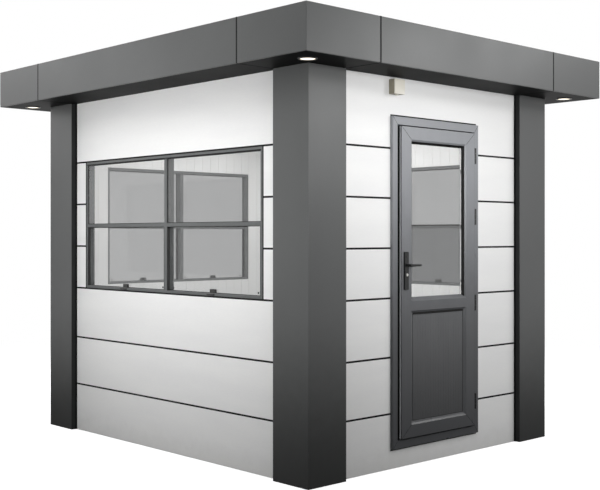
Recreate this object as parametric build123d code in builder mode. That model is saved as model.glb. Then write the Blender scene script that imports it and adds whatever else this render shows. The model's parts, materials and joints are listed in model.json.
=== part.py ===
"""Composite gatehouse cabin: a one-room flat-roofed booth with corner posts, plank cladding,
sliding windows on three walls and a part-glazed door on the fourth.

Frame: +Z up, the door wall faces -Y, origin on the ground at the middle of the plan. Millimetres.
"""
from math import atan2, degrees, hypot
import os

from build123d import *

os.makedirs("parts", exist_ok=True)

# ---------------------------------------------------------------- driving dimensions
# Plan and heights
width = 2200                    # door wall and back wall, over the posts
depth = 2710                    # side walls, over the posts
soffit_height = 2285
floor_level = 115

# Wall build-up, measured inwards from the posts' outer faces
cladding_recess = 40
cladding_thickness = 15
core_thickness = 37
lining_thickness = 8

# Corner posts
post_face = 288
post_edge_radius = 2

# Cladding planks
lower_joints = (322, 650)       # joints below the windows
window_bottom = 995             # joint that the window frames stand on
window_top = 1869               # joint that the window frames reach
window_rows = 3                 # planks beside a window
plank_joint = 9

# Roof
fascia_height = 250
roof_overhang = 260
fascia_sheet = 12
fascia_joint = 6
coping_width = 70
ceiling_thickness = 12
ceiling_void = 100
roof_deck_thickness = 70

# Floor and base
floor_thickness = 21
joist_width = 60
joist_count = 4

# Windows
window_margin = 125             # window's opening in the planks to the posts' inner edges
window_jamb_face = 16
window_rail_face = 25           # head and foot
mullion_face = 29
mullion_depth = 59
transom_face = 22
transom_height = 1427
pane_thickness = 6
upper_pane_setback = 6
lower_pane_setback = 22
channel_depth = 20
channel_thickness = 4
latch_width = 50
latch_height = 24
latch_depth = 14
latch_radius = 5
pull_width = 60
pull_height = 9
pull_depth = 12
pull_radius = 3
pull_rise = 3                   # above the window frame's foot

# Door frame
door_offset = -5                # door's centre line from the wall's centre line
door_frame_width = 802
door_head_drop = 229            # soffit down to the door frame's head
door_jamb_face = 40
door_rail_face = 47             # head and sill
door_frame_edge = 3             # chamfer round the frame's face
door_frame_proud = 20           # in front of the cladding
door_stop_face = 66             # on the jambs
door_stop_depth = 30

# Door leaf
leaf_gap = 17                   # leaf edge to the jambs, where the hinges sit
leaf_end_gap = 8                # leaf's head and foot to the frame
leaf_thickness = 61
leaf_proud = 36                 # in front of the cladding
leaf_edge = 2                   # chamfer round the leaf's face
leaf_stile = 108                # leaf edge to the glass or panel
leaf_rail = 97
midrail_bottom = 895
midrail_top = 996
bevel_face = 10                 # outer bevel of each member, across and deep
bevel_depth = 8
lip_face = 12                   # lip between the bevel and the glass or panel
glass_lip_depth = 13
panel_lip_depth = 3
glass_thickness = 16
groove_pitch = 24
groove_width = 3
groove_depth = 1.5

# Door furniture
furniture_backset = 35          # leaf edge to the spindle
plate_width = 34
plate_thickness = 10
plate_radius = 6
plate_above_spindle = 79
plate_below_spindle = 144
spindle_height = 1186
lever_length = 90
lever_neck_radius = 8
lever_neck_length = 28
lever_grip_root = 17
lever_grip_tip = 12
lever_grip_thickness = 10
lever_edge_radius = 3
cylinder_drop = 56              # under the spindle
cylinder_radius = 8.5
cylinder_proud = 4

# Hinges
hinge_rises = (151, 769)        # over the leaf's foot
hinge_drops = (524, 142)        # under the leaf's head
hinge_length = 96
hinge_radius = 8
hinge_axis_proud = 32           # in front of the cladding
hinge_wing = 3
hinge_slack = 0.5

# Downlights in the soffit's corners
downlight_offset = 90           # outside the posts' faces
downlight_bezel_radius = 53
downlight_lens_radius = 44
downlight_body_radius = 47
downlight_body_height = 55
downlight_bezel_drop = 5
downlight_bezel_slope = 2

# Junction box over the door
box_side = 86
box_depth = 45
box_left = -420
box_drop = 17                   # under the soffit
box_edge_radius = 4

fit = 0.3                       # seat of one fixed piece on the next
cut_over = 1                    # how far a cutter runs past the face that it opens

# ---------------------------------------------------------------- derived levels
wall_thickness = cladding_thickness + core_thickness + lining_thickness
door_frame_bottom = floor_level + fit
door_frame_top = soffit_height - door_head_drop
base_rail_height = floor_level - floor_thickness - fit
core_outer = cladding_recess + cladding_thickness
core_inner = core_outer + core_thickness
lining_inner = cladding_recess + wall_thickness
fascia_top = soffit_height + fascia_height
ceiling_bottom = soffit_height - ceiling_thickness
deck_bottom = soffit_height + ceiling_void
leaf_front = cladding_recess - leaf_proud
leaf_back = leaf_front + leaf_thickness
door_frame_front = cladding_recess - door_frame_proud
door_stop_front = lining_inner - door_stop_depth
door_stop_rise = door_stop_face * door_rail_face / door_jamb_face     # so that the mitres run true
door_frame_left = door_offset - door_frame_width / 2
door_frame_right = door_offset + door_frame_width / 2
leaf_left = door_frame_left + door_jamb_face + leaf_gap
leaf_right = door_frame_right - door_jamb_face - leaf_gap
leaf_bottom = door_frame_bottom + door_rail_face + leaf_end_gap
leaf_top = door_frame_top - door_rail_face - leaf_end_gap
bevel_back = leaf_front + bevel_depth
glass_front = bevel_back + glass_lip_depth
glass_back = glass_front + glass_thickness
panel_front = bevel_back + panel_lip_depth
spindle_x = leaf_left + furniture_backset
plate_top = spindle_height + plate_above_spindle
plate_bottom = spindle_height - plate_below_spindle
cylinder_height = spindle_height - cylinder_drop
hinge_x = leaf_right + leaf_gap / 2
hinge_depth = cladding_recess - hinge_axis_proud
hinge_heights = [leaf_bottom + rise for rise in hinge_rises] + [leaf_top - drop for drop in hinge_drops]

# ---------------------------------------------------------------- walls, seen from outside
front = Plane(origin=(0, -depth / 2, 0), x_dir=(1, 0, 0), z_dir=(0, -1, 0))
back = Plane(origin=(0, depth / 2, 0), x_dir=(-1, 0, 0), z_dir=(0, 1, 0))
left = Plane(origin=(-width / 2, 0, 0), x_dir=(0, -1, 0), z_dir=(-1, 0, 0))
right = Plane(origin=(width / 2, 0, 0), x_dir=(0, 1, 0), z_dir=(1, 0, 0))
window_walls = {"left": (left, depth / 2), "right": (right, depth / 2), "back": (back, width / 2)}


def plate(wall, start, end, bottom, top, outer, inner, mode=Mode.ADD, radius=0):
    """Add a flat plate to a wall: its rectangle as seen from outside, and its two depths."""
    with BuildSketch(wall.offset(-inner)) as outline:
        with Locations(((start + end) / 2, (bottom + top) / 2)):
            if radius:
                RectangleRounded(end - start, top - bottom, radius)
            else:
                Rectangle(end - start, top - bottom)
    extrude(outline.sketch, amount=inner - outer, mode=mode)


def ring(wall, start, end, bottom, top, jamb_face, rail_face, outer, inner):
    """Add a rectangular frame to a wall: its outline, its two face widths and its two depths."""
    with BuildSketch(wall.offset(-inner)) as outline:
        with Locations(((start + end) / 2, (bottom + top) / 2)):
            Rectangle(end - start, top - bottom)
            Rectangle(end - start - 2 * jamb_face, top - bottom - 2 * rail_face, mode=Mode.SUBTRACT)
    extrude(outline.sketch, amount=inner - outer)


def saw_mitres(wall, start, end, bottom, top, jamb_face, rail_face, outer, inner):
    """Part a rectangular frame into four members with mitred ends, one fit apart."""
    lean = degrees(atan2(rail_face, jamb_face))
    corner_turns = ((start, bottom, lean), (end, top, lean), (start, top, -lean), (end, bottom, -lean))
    with BuildSketch(wall.offset(-inner - cut_over)) as kerfs:
        for x, y, turn in corner_turns:
            with Locations(Location((x, y, 0), (0, 0, turn))):
                Rectangle(2 * (hypot(jamb_face, rail_face) + cut_over), fit)
    extrude(kerfs.sketch, amount=inner - outer + 2 * cut_over, mode=Mode.SUBTRACT)


def flare(wall, opening, depths, margins):
    """Widen an opening between two depths: its rectangle grows by one margin at each."""
    start, end, bottom, top = opening
    mouths = []
    for mouth_depth, margin in zip(depths, margins):
        with BuildSketch(wall.offset(-mouth_depth)) as mouth:
            with Locations(((start + end) / 2, (bottom + top) / 2)):
                Rectangle(end - start + 2 * margin, top - bottom + 2 * margin)
        mouths.append(mouth.sketch)
    loft(mouths, ruled=True, mode=Mode.SUBTRACT)


def rows(joints, first, last):
    """Bottom and top of each plank between the joints, with half a joint's gap at each."""
    bottoms = [first] + [joint + plank_joint / 2 for joint in joints]
    tops = [joint - plank_joint / 2 for joint in joints] + [last]
    return list(zip(bottoms, tops))


def window_half(half_length):
    """Half the width of the window frame on a wall of this half length."""
    return half_length - post_face - window_margin - plank_joint


def save(sub_part, name):
    """Label a finished piece and write its STEP file."""
    sub_part.label = name
    export_step(sub_part, f"parts/{name}.step")


# ---------------------------------------------------------------- base and floor
base_half_x = width / 2 - core_outer
base_half_y = depth / 2 - core_outer
side_rail_length = 2 * (base_half_y - core_thickness - fit)
joist_length = 2 * (base_half_x - core_thickness - fit)
joist_pitch = side_rail_length / (joist_count + 1)
with BuildPart() as base_frame:
    with BuildSketch():
        with GridLocations(0, 2 * base_half_y - core_thickness, 1, 2):
            Rectangle(2 * base_half_x, core_thickness)
        with GridLocations(2 * base_half_x - core_thickness, 0, 2, 1):
            Rectangle(core_thickness, side_rail_length)
        with GridLocations(0, joist_pitch, 1, joist_count):
            Rectangle(joist_length, joist_width)
    extrude(amount=base_rail_height)
save(base_frame.part, "base_frame")

with BuildPart() as floor_deck:
    with BuildSketch(Plane.XY.offset(base_rail_height + fit)):
        Rectangle(width - 2 * core_inner - 2 * fit, depth - 2 * core_inner - 2 * fit)
    extrude(amount=floor_level - base_rail_height - fit)
save(floor_deck.part, "floor_deck")

# ---------------------------------------------------------------- corner posts
corners = {"front_left": (-1, -1), "front_right": (1, -1), "back_left": (-1, 1), "back_right": (1, 1)}
for name, (side_x, side_y) in corners.items():
    with BuildPart() as post:
        with BuildSketch():
            with Locations((side_x * (width - post_face) / 2, side_y * (depth - post_face) / 2)):
                Rectangle(post_face, post_face)
            Rectangle(width - 2 * core_outer + 2 * fit, depth - 2 * core_outer + 2 * fit, mode=Mode.SUBTRACT)
        extrude(amount=soffit_height - fit)
        upright_edges = post.edges().filter_by(Axis.Z)
        corner_edge = upright_edges.sort_by(lambda edge: abs(edge.center().X) + abs(edge.center().Y))[-1]
        fillet(corner_edge, radius=post_edge_radius)
    save(post.part, f"post_{name}")

# ---------------------------------------------------------------- insulated wall cores
core_bottom = base_rail_height + fit
front_half = width / 2 - core_outer
with BuildPart() as front_wall_left:
    plate(front, -front_half, door_frame_left - fit, core_bottom, deck_bottom, core_outer, core_inner)
save(front_wall_left.part, "front_wall_left")

with BuildPart() as front_wall_right:
    plate(front, door_frame_right + fit, front_half, core_bottom, deck_bottom, core_outer, core_inner)
save(front_wall_right.part, "front_wall_right")

with BuildPart() as front_wall_head:
    head_bottom = door_frame_top + fit
    plate(front, door_frame_left, door_frame_right, head_bottom, deck_bottom, core_outer, core_inner)
save(front_wall_head.part, "front_wall_head")

frame_bottom = window_bottom + plank_joint / 2
frame_top = window_top - plank_joint / 2
for name, (wall, half_length) in window_walls.items():
    # The side walls stand between the front and back walls.
    half_core = half_length - (core_outer if name == "back" else core_inner + fit)
    half_frame = window_half(half_length)
    with BuildPart() as wall_core:
        plate(wall, -half_core, half_core, core_bottom, frame_bottom - fit, core_outer, core_inner)
        plate(wall, -half_core, half_core, frame_top + fit, deck_bottom, core_outer, core_inner)
        pier_bottom = frame_bottom
        pier_top = frame_top
        plate(wall, -half_core, -half_frame - fit, pier_bottom, pier_top, core_outer, core_inner)
        plate(wall, half_frame + fit, half_core, pier_bottom, pier_top, core_outer, core_inner)
    save(wall_core.part, f"{name}_wall")

# ---------------------------------------------------------------- plank cladding
window_joints = tuple(
    window_bottom + row * (window_top - window_bottom) / window_rows for row in range(window_rows + 1)
)
all_joints = lower_joints + window_joints
plank_rows = rows(all_joints, 0, soffit_height - fit)
cladding_back = core_outer - fit

front_end = width / 2 - post_face - plank_joint
with BuildPart() as front_cladding:
    for bottom, top in plank_rows[1:-1]:
        plate(front, -front_end, door_frame_left - fit, bottom, top, cladding_recess, cladding_back)
        plate(front, door_frame_right + fit, front_end, bottom, top, cladding_recess, cladding_back)
save(front_cladding.part, "front_cladding")

with BuildPart() as notched_planks:
    for bottom, top in (plank_rows[0], plank_rows[-1]):
        plate(front, -front_end, front_end, bottom, top, cladding_recess, cladding_back)
    plate(front, door_frame_left - fit, door_frame_right + fit,
          door_frame_bottom - plank_joint, door_frame_top + plank_joint,
          cladding_recess - cut_over, cladding_back + cut_over, mode=Mode.SUBTRACT)
save(notched_planks.part, "front_cladding_notched")

for name, (wall, half_length) in window_walls.items():
    plank_end = half_length - post_face - plank_joint
    half_frame = window_half(half_length)
    with BuildPart() as cladding:
        for bottom, top in plank_rows:
            if window_bottom < bottom < window_top:
                half_hole = half_frame + plank_joint
                plate(wall, -plank_end, -half_hole, bottom, top, cladding_recess, cladding_back)
                plate(wall, half_hole, plank_end, bottom, top, cladding_recess, cladding_back)
            else:
                plate(wall, -plank_end, plank_end, bottom, top, cladding_recess, cladding_back)
    save(cladding.part, f"{name}_cladding")

# ---------------------------------------------------------------- inner linings and ceiling
lining_bottom = floor_level + fit
lining_top = ceiling_bottom - fit
lining_back = core_inner + fit
front_lining_end = width / 2 - core_inner - fit
with BuildPart() as front_lining:
    plate(front, -front_lining_end, front_lining_end, lining_bottom, lining_top, lining_back, lining_inner)
    plate(front, door_frame_left - fit, door_frame_right + fit, door_frame_bottom - fit, door_frame_top + fit,
          lining_back - cut_over, lining_inner + cut_over, mode=Mode.SUBTRACT)
save(front_lining.part, "front_lining")

for name, (wall, half_length) in window_walls.items():
    half_lining = half_length - (core_inner if name == "back" else lining_inner) - fit
    half_hole = window_half(half_length) + fit
    with BuildPart() as lining:
        plate(wall, -half_lining, half_lining, lining_bottom, lining_top, lining_back, lining_inner)
        plate(wall, -half_hole, half_hole, frame_bottom - fit, frame_top + fit,
              lining_back - cut_over, lining_inner + cut_over, mode=Mode.SUBTRACT)
    save(lining.part, f"{name}_lining")

with BuildPart() as ceiling:
    with BuildSketch(Plane.XY.offset(ceiling_bottom)):
        Rectangle(width - 2 * core_inner - 2 * fit, depth - 2 * core_inner - 2 * fit)
    extrude(amount=ceiling_thickness)
save(ceiling.part, "ceiling")

# ---------------------------------------------------------------- windows
upper_bottom = transom_height + transom_face / 2
lower_top = transom_height - transom_face / 2
pane_bottom = frame_bottom + window_rail_face
pane_top = frame_top - window_rail_face
panes_by_wall = []
for name, (wall, half_length) in window_walls.items():
    half_frame = window_half(half_length)
    mullion_back = cladding_recess + mullion_depth
    inner_edge = half_frame - window_jamb_face
    pane_spans = ((-inner_edge + fit, -mullion_face / 2 - fit), (mullion_face / 2 + fit, inner_edge - fit))
    with BuildPart() as window_frame:
        frame_outline = (-half_frame, half_frame, frame_bottom, frame_top, window_jamb_face, window_rail_face)
        ring(wall, *frame_outline, cladding_recess, lining_inner)
        saw_mitres(wall, *frame_outline, cladding_recess, lining_inner)
        plate(wall, -mullion_face / 2, mullion_face / 2, pane_bottom + fit, pane_top - fit,
              cladding_recess, mullion_back)
        for start, end in pane_spans:
            plate(wall, start, end, lower_top, upper_bottom, cladding_recess, mullion_back)
    save(window_frame.part, f"{name}_window_frame")

    upper_front = cladding_recess + upper_pane_setback
    lower_front = cladding_recess + lower_pane_setback
    pane_rows = (
        (upper_bottom + fit, pane_top - fit, upper_front, upper_front + pane_thickness),
        (pane_bottom + fit, lower_top - fit, lower_front, lower_front + pane_thickness),
    )
    with BuildPart() as window_glass:
        for start, end in pane_spans:
            for pane_row in pane_rows:
                plate(wall, start, end, *pane_row)
    save(window_glass.part, f"{name}_window_glass")

    panes_by_wall.append((wall, pane_spans))

with BuildPart() as window_channels:
    for wall, pane_spans in panes_by_wall:
        for start, end in pane_spans:
            channel_front = cladding_recess + fit
            channel_back = channel_front + channel_depth
            plate(wall, start, start + channel_thickness, pane_bottom + fit, lower_top - fit,
                  channel_front, channel_back)
            plate(wall, end - channel_thickness, end, pane_bottom + fit, lower_top - fit,
                  channel_front, channel_back)
save(window_channels.part, "window_channels")

with BuildPart() as window_latches:
    for wall, pane_spans in panes_by_wall:
        for start, end in pane_spans:
            middle = (start + end) / 2
            latch_back = cladding_recess + lower_pane_setback - fit
            latch_front = latch_back - latch_depth
            latch_bottom = pane_bottom + fit
            plate(wall, middle - latch_width / 2, middle + latch_width / 2,
                  latch_bottom, latch_bottom + latch_height, latch_front, latch_back, radius=latch_radius)
            plate(wall, middle - pull_width / 2, middle + pull_width / 2,
                  frame_bottom + pull_rise, frame_bottom + pull_rise + pull_height,
                  cladding_recess - pull_depth, cladding_recess - fit, radius=pull_radius)
save(window_latches.part, "window_latches")

# ---------------------------------------------------------------- door frame
door_frame_outline = (door_frame_left, door_frame_right, door_frame_bottom, door_frame_top)
with BuildPart() as door_frame:
    ring(front, *door_frame_outline, door_jamb_face, door_rail_face, door_frame_front, door_stop_front)
    ring(front, *door_frame_outline, door_stop_face, door_stop_rise, door_stop_front, lining_inner)
    front_edges = door_frame.faces().sort_by(Axis.Y)[0].outer_wire().edges()
    chamfer(front_edges, length=door_frame_edge)
    saw_mitres(front, *door_frame_outline, door_stop_face, door_stop_rise, door_frame_front, lining_inner)
save(door_frame.part, "door_frame")

# ---------------------------------------------------------------- door leaf
opening_left = leaf_left + leaf_stile
opening_right = leaf_right - leaf_stile
panel_opening = (opening_left, opening_right, leaf_bottom + leaf_rail, midrail_bottom)
glass_opening = (opening_left, opening_right, midrail_top, leaf_top - leaf_rail)
inner_bevel = leaf_back - glass_back
with BuildPart() as door_leaf:
    plate(front, leaf_left, leaf_right, leaf_bottom, leaf_top, leaf_front, leaf_back)
    face_of_leaf = door_leaf.faces().filter_by(Axis.Y).sort_by(Axis.Y)[0]
    chamfer(face_of_leaf.outer_wire().edges(), length=leaf_edge)
    for opening, lip_back in ((panel_opening, panel_front), (glass_opening, glass_front)):
        plate(front, *opening, leaf_front - cut_over, leaf_back + cut_over, mode=Mode.SUBTRACT)
        flare(front, opening, (leaf_front, bevel_back), (bevel_face + lip_face, lip_face))
        flare(front, opening, (bevel_back, lip_back), (lip_face, 0))
        flare(front, opening, (glass_back, leaf_back), (0, inner_bevel))
    saw_mitres(front, leaf_left, leaf_right, leaf_bottom, leaf_top,
               leaf_stile, leaf_rail, leaf_front, leaf_back)
    # The midrail butts against the stiles.
    for joint_start in (opening_left - fit, opening_right):
        plate(front, joint_start, joint_start + fit, midrail_bottom - inner_bevel, midrail_top + inner_bevel,
              leaf_front - cut_over, leaf_back + cut_over, mode=Mode.SUBTRACT)
    with Locations(Plane(origin=(spindle_x, -depth / 2 + leaf_front, spindle_height), z_dir=(0, -1, 0))):
        Hole(radius=lever_neck_radius + fit, depth=leaf_thickness + cut_over)
save(door_leaf.part, "door_leaf")

infill_start = opening_left + fit
infill_end = opening_right - fit
glass_bottom = midrail_top + fit
glass_top = leaf_top - leaf_rail - fit
with BuildPart() as door_glass:
    plate(front, infill_start, infill_end, glass_bottom, glass_top, glass_front, glass_back)
save(door_glass.part, "door_glass")

panel_bottom = leaf_bottom + leaf_rail + fit
panel_top = midrail_bottom - fit
with BuildPart() as door_panel:
    plate(front, infill_start, infill_end, panel_bottom, panel_top, panel_front, glass_back)
    groove_count = int((infill_end - infill_start) / groove_pitch)
    with BuildSketch(front.offset(-panel_front - groove_depth)) as grooves:
        with Locations((door_offset, (panel_bottom + panel_top) / 2)):
            with GridLocations(groove_pitch, 0, groove_count, 1):
                Rectangle(groove_width, panel_top - panel_bottom + 2 * cut_over)
    extrude(grooves.sketch, amount=groove_depth + cut_over, mode=Mode.SUBTRACT)
save(door_panel.part, "door_panel")

# ---------------------------------------------------------------- door furniture
with BuildPart() as handle_plates:
    for plate_back in (leaf_front, leaf_back + plate_thickness):
        with BuildSketch(front.offset(-plate_back)) as plate_outline:
            with Locations((spindle_x, (plate_top + plate_bottom) / 2)):
                RectangleRounded(plate_width, plate_top - plate_bottom, radius=plate_radius)
            with Locations((spindle_x, spindle_height)):
                Circle(lever_neck_radius + fit, mode=Mode.SUBTRACT)
            with Locations((spindle_x, cylinder_height)):
                Circle(cylinder_radius + fit, mode=Mode.SUBTRACT)
        extrude(plate_outline.sketch, amount=plate_thickness)
save(handle_plates.part, "handle_plates")

lever_outer = leaf_front - plate_thickness - lever_neck_length
lever_inner = leaf_back + plate_thickness + lever_neck_length
lever_tip = spindle_x + lever_length
with BuildPart() as door_lever:
    for grip_inner in (lever_outer, lever_inner + lever_grip_thickness):
        with BuildSketch(front.offset(-grip_inner)) as grip:
            with BuildLine():
                Polyline((spindle_x, spindle_height + lever_grip_root / 2),
                         (lever_tip, spindle_height + lever_grip_tip / 2),
                         (lever_tip, spindle_height - lever_grip_tip / 2),
                         (spindle_x, spindle_height - lever_grip_root / 2), close=True)
            make_face()
        extrude(grip.sketch, amount=lever_grip_thickness)
    fillet(door_lever.edges().filter_by(Axis.Y).group_by(Axis.X)[-1], radius=lever_edge_radius)
    fillet(door_lever.faces().filter_by(Axis.Y).edges(), radius=lever_edge_radius)
    with BuildSketch(front.offset(-lever_inner - lever_grip_thickness)) as neck:
        with Locations((spindle_x, spindle_height)):
            Circle(lever_neck_radius)
    extrude(neck.sketch, amount=lever_inner - lever_outer + 2 * lever_grip_thickness)
save(door_lever.part, "door_lever")

with BuildPart() as lock_cylinder:
    with BuildSketch(front.offset(-leaf_front)) as barrel:
        with Locations((spindle_x, cylinder_height)):
            Circle(cylinder_radius)
    extrude(barrel.sketch, amount=plate_thickness + cylinder_proud)
save(lock_cylinder.part, "lock_cylinder")

# ---------------------------------------------------------------- hinges
knuckle = hinge_length / 3
axis_y = -depth / 2 + hinge_depth
with BuildPart() as hinges_fixed:
    for height in hinge_heights:
        for base in (height - hinge_length / 2, height + knuckle / 2 + hinge_slack):
            with BuildSketch(Plane.XY.offset(base)) as knuckle_section:
                with Locations((hinge_x, axis_y)):
                    Circle(hinge_radius)
                wing_end = -depth / 2 + door_stop_front - 2 * fit
                wing_x = hinge_x + leaf_gap / 2 - fit - hinge_wing / 2
                with Locations((wing_x, (axis_y + wing_end) / 2)):
                    Rectangle(hinge_wing, wing_end - axis_y)
            extrude(knuckle_section.sketch, amount=knuckle - hinge_slack)
save(hinges_fixed.part, "hinges_fixed")

with BuildPart() as hinges_moving:
    for height in hinge_heights:
        with BuildSketch(Plane.XY.offset(height - knuckle / 2)) as knuckle_section:
            with Locations((hinge_x, axis_y)):
                Circle(hinge_radius)
            wing_end = -depth / 2 + leaf_back - 2 * fit
            wing_x = hinge_x - leaf_gap / 2 + fit + hinge_wing / 2
            with Locations((wing_x, (axis_y + wing_end) / 2)):
                Rectangle(hinge_wing, wing_end - axis_y)
        extrude(knuckle_section.sketch, amount=knuckle)
save(hinges_moving.part, "hinges_moving")

# ---------------------------------------------------------------- fascia, soffit and coping
roof_x = width + 2 * roof_overhang
roof_y = depth + 2 * roof_overhang
inner_roof_x = roof_x - 2 * fascia_sheet - 2 * fit
inner_roof_y = roof_y - 2 * fascia_sheet - 2 * fit
joint_x = width / 2 - post_face
joint_y = depth / 2 - post_face


def saw_panel_joints(bottom, top):
    """Part a ring of the roof's edge into four runs and four corners, one joint apart."""
    with BuildSketch(Plane.XY.offset(bottom - cut_over)) as kerfs:
        with GridLocations(2 * joint_x, 0, 2, 1):
            Rectangle(fascia_joint, roof_y + 2 * cut_over)
        with GridLocations(0, 2 * joint_y, 1, 2):
            Rectangle(roof_x + 2 * cut_over, fascia_joint)
    extrude(kerfs.sketch, amount=top - bottom + 2 * cut_over, mode=Mode.SUBTRACT)


with BuildPart() as fascia_panels:
    with BuildSketch(Plane.XY.offset(soffit_height)) as fascia_plan:
        Rectangle(roof_x, roof_y)
        Rectangle(roof_x - 2 * fascia_sheet, roof_y - 2 * fascia_sheet, mode=Mode.SUBTRACT)
    extrude(fascia_plan.sketch, amount=fascia_height)
    saw_panel_joints(soffit_height, fascia_top)
save(fascia_panels.part, "fascia_panels")

with BuildPart() as soffit_panels:
    with BuildSketch(Plane.XY.offset(soffit_height)) as soffit_plan:
        Rectangle(inner_roof_x, inner_roof_y)
        Rectangle(width - 2 * core_outer + 2 * fit, depth - 2 * core_outer + 2 * fit, mode=Mode.SUBTRACT)
        with GridLocations(width + 2 * downlight_offset, depth + 2 * downlight_offset, 2, 2):
            Circle(downlight_body_radius + fit, mode=Mode.SUBTRACT)
    extrude(soffit_plan.sketch, amount=fascia_sheet)
    saw_panel_joints(soffit_height, soffit_height + fascia_sheet)
save(soffit_panels.part, "soffit_panels")

with BuildPart() as coping:
    with BuildSketch(Plane.XY.offset(fascia_top - fascia_sheet)) as coping_plan:
        Rectangle(inner_roof_x, inner_roof_y)
        Rectangle(roof_x - 2 * coping_width, roof_y - 2 * coping_width, mode=Mode.SUBTRACT)
        for side_x, side_y in corners.values():
            roof_corner = (side_x * roof_x / 2, side_y * roof_y / 2, 0)
            with Locations(Location(roof_corner, (0, 0, 45 * side_x * side_y))):
                Rectangle(2 * (coping_width + cut_over) * 2 ** 0.5, fit, mode=Mode.SUBTRACT)
    extrude(coping_plan.sketch, amount=fascia_sheet)
save(coping.part, "coping")

with BuildPart() as roof_deck:
    with BuildSketch(Plane.XY.offset(deck_bottom + fit)):
        Rectangle(inner_roof_x, inner_roof_y)
    extrude(amount=roof_deck_thickness)
save(roof_deck.part, "roof_deck")

# ---------------------------------------------------------------- downlights
with BuildPart() as downlights:
    for side_x, side_y in corners.values():
        centre_x = side_x * (width / 2 + downlight_offset)
        centre_y = side_y * (depth / 2 + downlight_offset)
        centre = Vector(centre_x, centre_y, soffit_height)
        with BuildSketch(Plane(origin=centre, x_dir=(1, 0, 0), z_dir=(0, -1, 0))) as section:
            with BuildLine():
                Polyline((0, -fit), (downlight_lens_radius, -fit),
                         (downlight_lens_radius, -downlight_bezel_drop),
                         (downlight_bezel_radius - downlight_bezel_slope, -downlight_bezel_drop),
                         (downlight_bezel_radius, -fit), (downlight_body_radius, -fit),
                         (downlight_body_radius, downlight_body_height),
                         (0, downlight_body_height), close=True)
            make_face()
        revolve(section.sketch, axis=Axis(centre, (0, 0, 1)))
save(downlights.part, "downlights")

# ---------------------------------------------------------------- junction box
box_bottom = soffit_height - box_drop - box_side
with BuildPart() as junction_box:
    plate(front, box_left, box_left + box_side, box_bottom, box_bottom + box_side,
          cladding_recess - box_depth, cladding_recess - fit)
    fillet(junction_box.edges().filter_by(Axis.Y), radius=box_edge_radius)
save(junction_box.part, "junction_box")
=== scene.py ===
"""Gatehouse cabin: finishes, trims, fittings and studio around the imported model.

Metres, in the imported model's frame: +Z up, the door wall faces -Y, the ground is at Z 0.
"""
import json
import logging
import math
from dataclasses import dataclass
from enum import Enum
from typing import Iterable, Sequence

import bmesh
import bpy
from mathutils import Matrix, Vector


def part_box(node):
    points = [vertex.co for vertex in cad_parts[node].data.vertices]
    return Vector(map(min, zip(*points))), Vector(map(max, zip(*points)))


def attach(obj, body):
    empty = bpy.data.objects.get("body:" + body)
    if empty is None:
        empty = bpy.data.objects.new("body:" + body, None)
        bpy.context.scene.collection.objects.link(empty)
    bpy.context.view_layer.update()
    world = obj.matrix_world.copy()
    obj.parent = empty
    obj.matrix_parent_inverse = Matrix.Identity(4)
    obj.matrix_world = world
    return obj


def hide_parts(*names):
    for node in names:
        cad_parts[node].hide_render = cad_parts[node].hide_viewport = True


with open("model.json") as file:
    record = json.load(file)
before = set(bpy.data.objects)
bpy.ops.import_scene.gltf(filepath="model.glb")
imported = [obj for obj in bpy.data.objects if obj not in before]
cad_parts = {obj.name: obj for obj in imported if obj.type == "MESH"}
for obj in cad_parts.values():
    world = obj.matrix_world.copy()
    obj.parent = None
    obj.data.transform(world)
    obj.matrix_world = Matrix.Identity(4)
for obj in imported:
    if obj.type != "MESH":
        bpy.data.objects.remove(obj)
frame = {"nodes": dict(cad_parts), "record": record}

LOG = logging.getLogger("gatehouse")
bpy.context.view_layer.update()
MM = 0.001
MM_PER_METRE = 1000.0
# Vertices nearer than the first are one, and faces nearer than the second count as level. The second is
# also the step between two strips that cross, so that their faces don't coincide.
MERGE_GAP = 0.001 * MM
NEAR_GAP = 0.01 * MM
# The digits, in metres, to which solids are sorted by their places.
PLACE_DIGITS = 3
# The most of a bar's least side that its rolled edge may take, so that some flat is left between two
# edges, and how many faces make the roll.
EDGE_SHARE = 0.46
EDGE_SEGMENTS = 2
# Edges sharper than the first are shaded sharp, and those sharper than the second are rolled. Faces that
# meet flatter than the third are one face.
SHARP_ANGLE = math.radians(50)
ROLLED_ANGLE = math.radians(28)
FLAT_ANGLE = math.radians(0.5)
LEVEL_VIEW = math.radians(90)
MATRIX_SIZE = 4
# The steps of a full turn on screws, on caps, on rings and glands, and on lenses and outlets.
SCREW_STEPS, CAP_STEPS, RING_STEPS, WIDE_STEPS = 20, 24, 32, 48
# The curve of the sRGB standard, by which a written colour turns into linear light.
CHANNEL_MAX = 255
SRGB_KNEE, SRGB_SLOPE, SRGB_OFFSET, SRGB_POWER = 0.04045, 12.92, 0.055, 2.4
WHITE = (1.0, 1.0, 1.0, 1.0)

Point = Sequence[float]
Box = tuple[Vector, Vector]
Profile = Sequence[tuple[float, float]]


class Body(Enum):
    """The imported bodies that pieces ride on."""

    CABIN = "cabin"
    DOOR = "door"
    LEVER = "lever"


# ---------------------------------------------------------------- nodes and colours


def linear(code: str) -> tuple[float, float, float, float]:
    """Turn an sRGB hex colour into linear RGBA.

    Args:
        code: Six hex digits.

    Returns:
        The colour's linear channels with an alpha of one.
    """
    channels = [value / CHANNEL_MAX for value in bytes.fromhex(code)]
    red, green, blue = (
        value / SRGB_SLOPE if value <= SRGB_KNEE
        else ((value + SRGB_OFFSET) / (1 + SRGB_OFFSET)) ** SRGB_POWER
        for value in channels
    )
    return red, green, blue, 1.0


def socket_of(sockets: Iterable[bpy.types.NodeSocket], key: str) -> bpy.types.NodeSocket:
    """Find a socket by its identifier, or else by its name.

    Args:
        sockets: A node's inputs or outputs.
        key: The identifier or name.

    Returns:
        The matching socket.
    """
    return next(
        each for field in ("identifier", "name") for each in sockets if getattr(each, field) == key
    )


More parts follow.
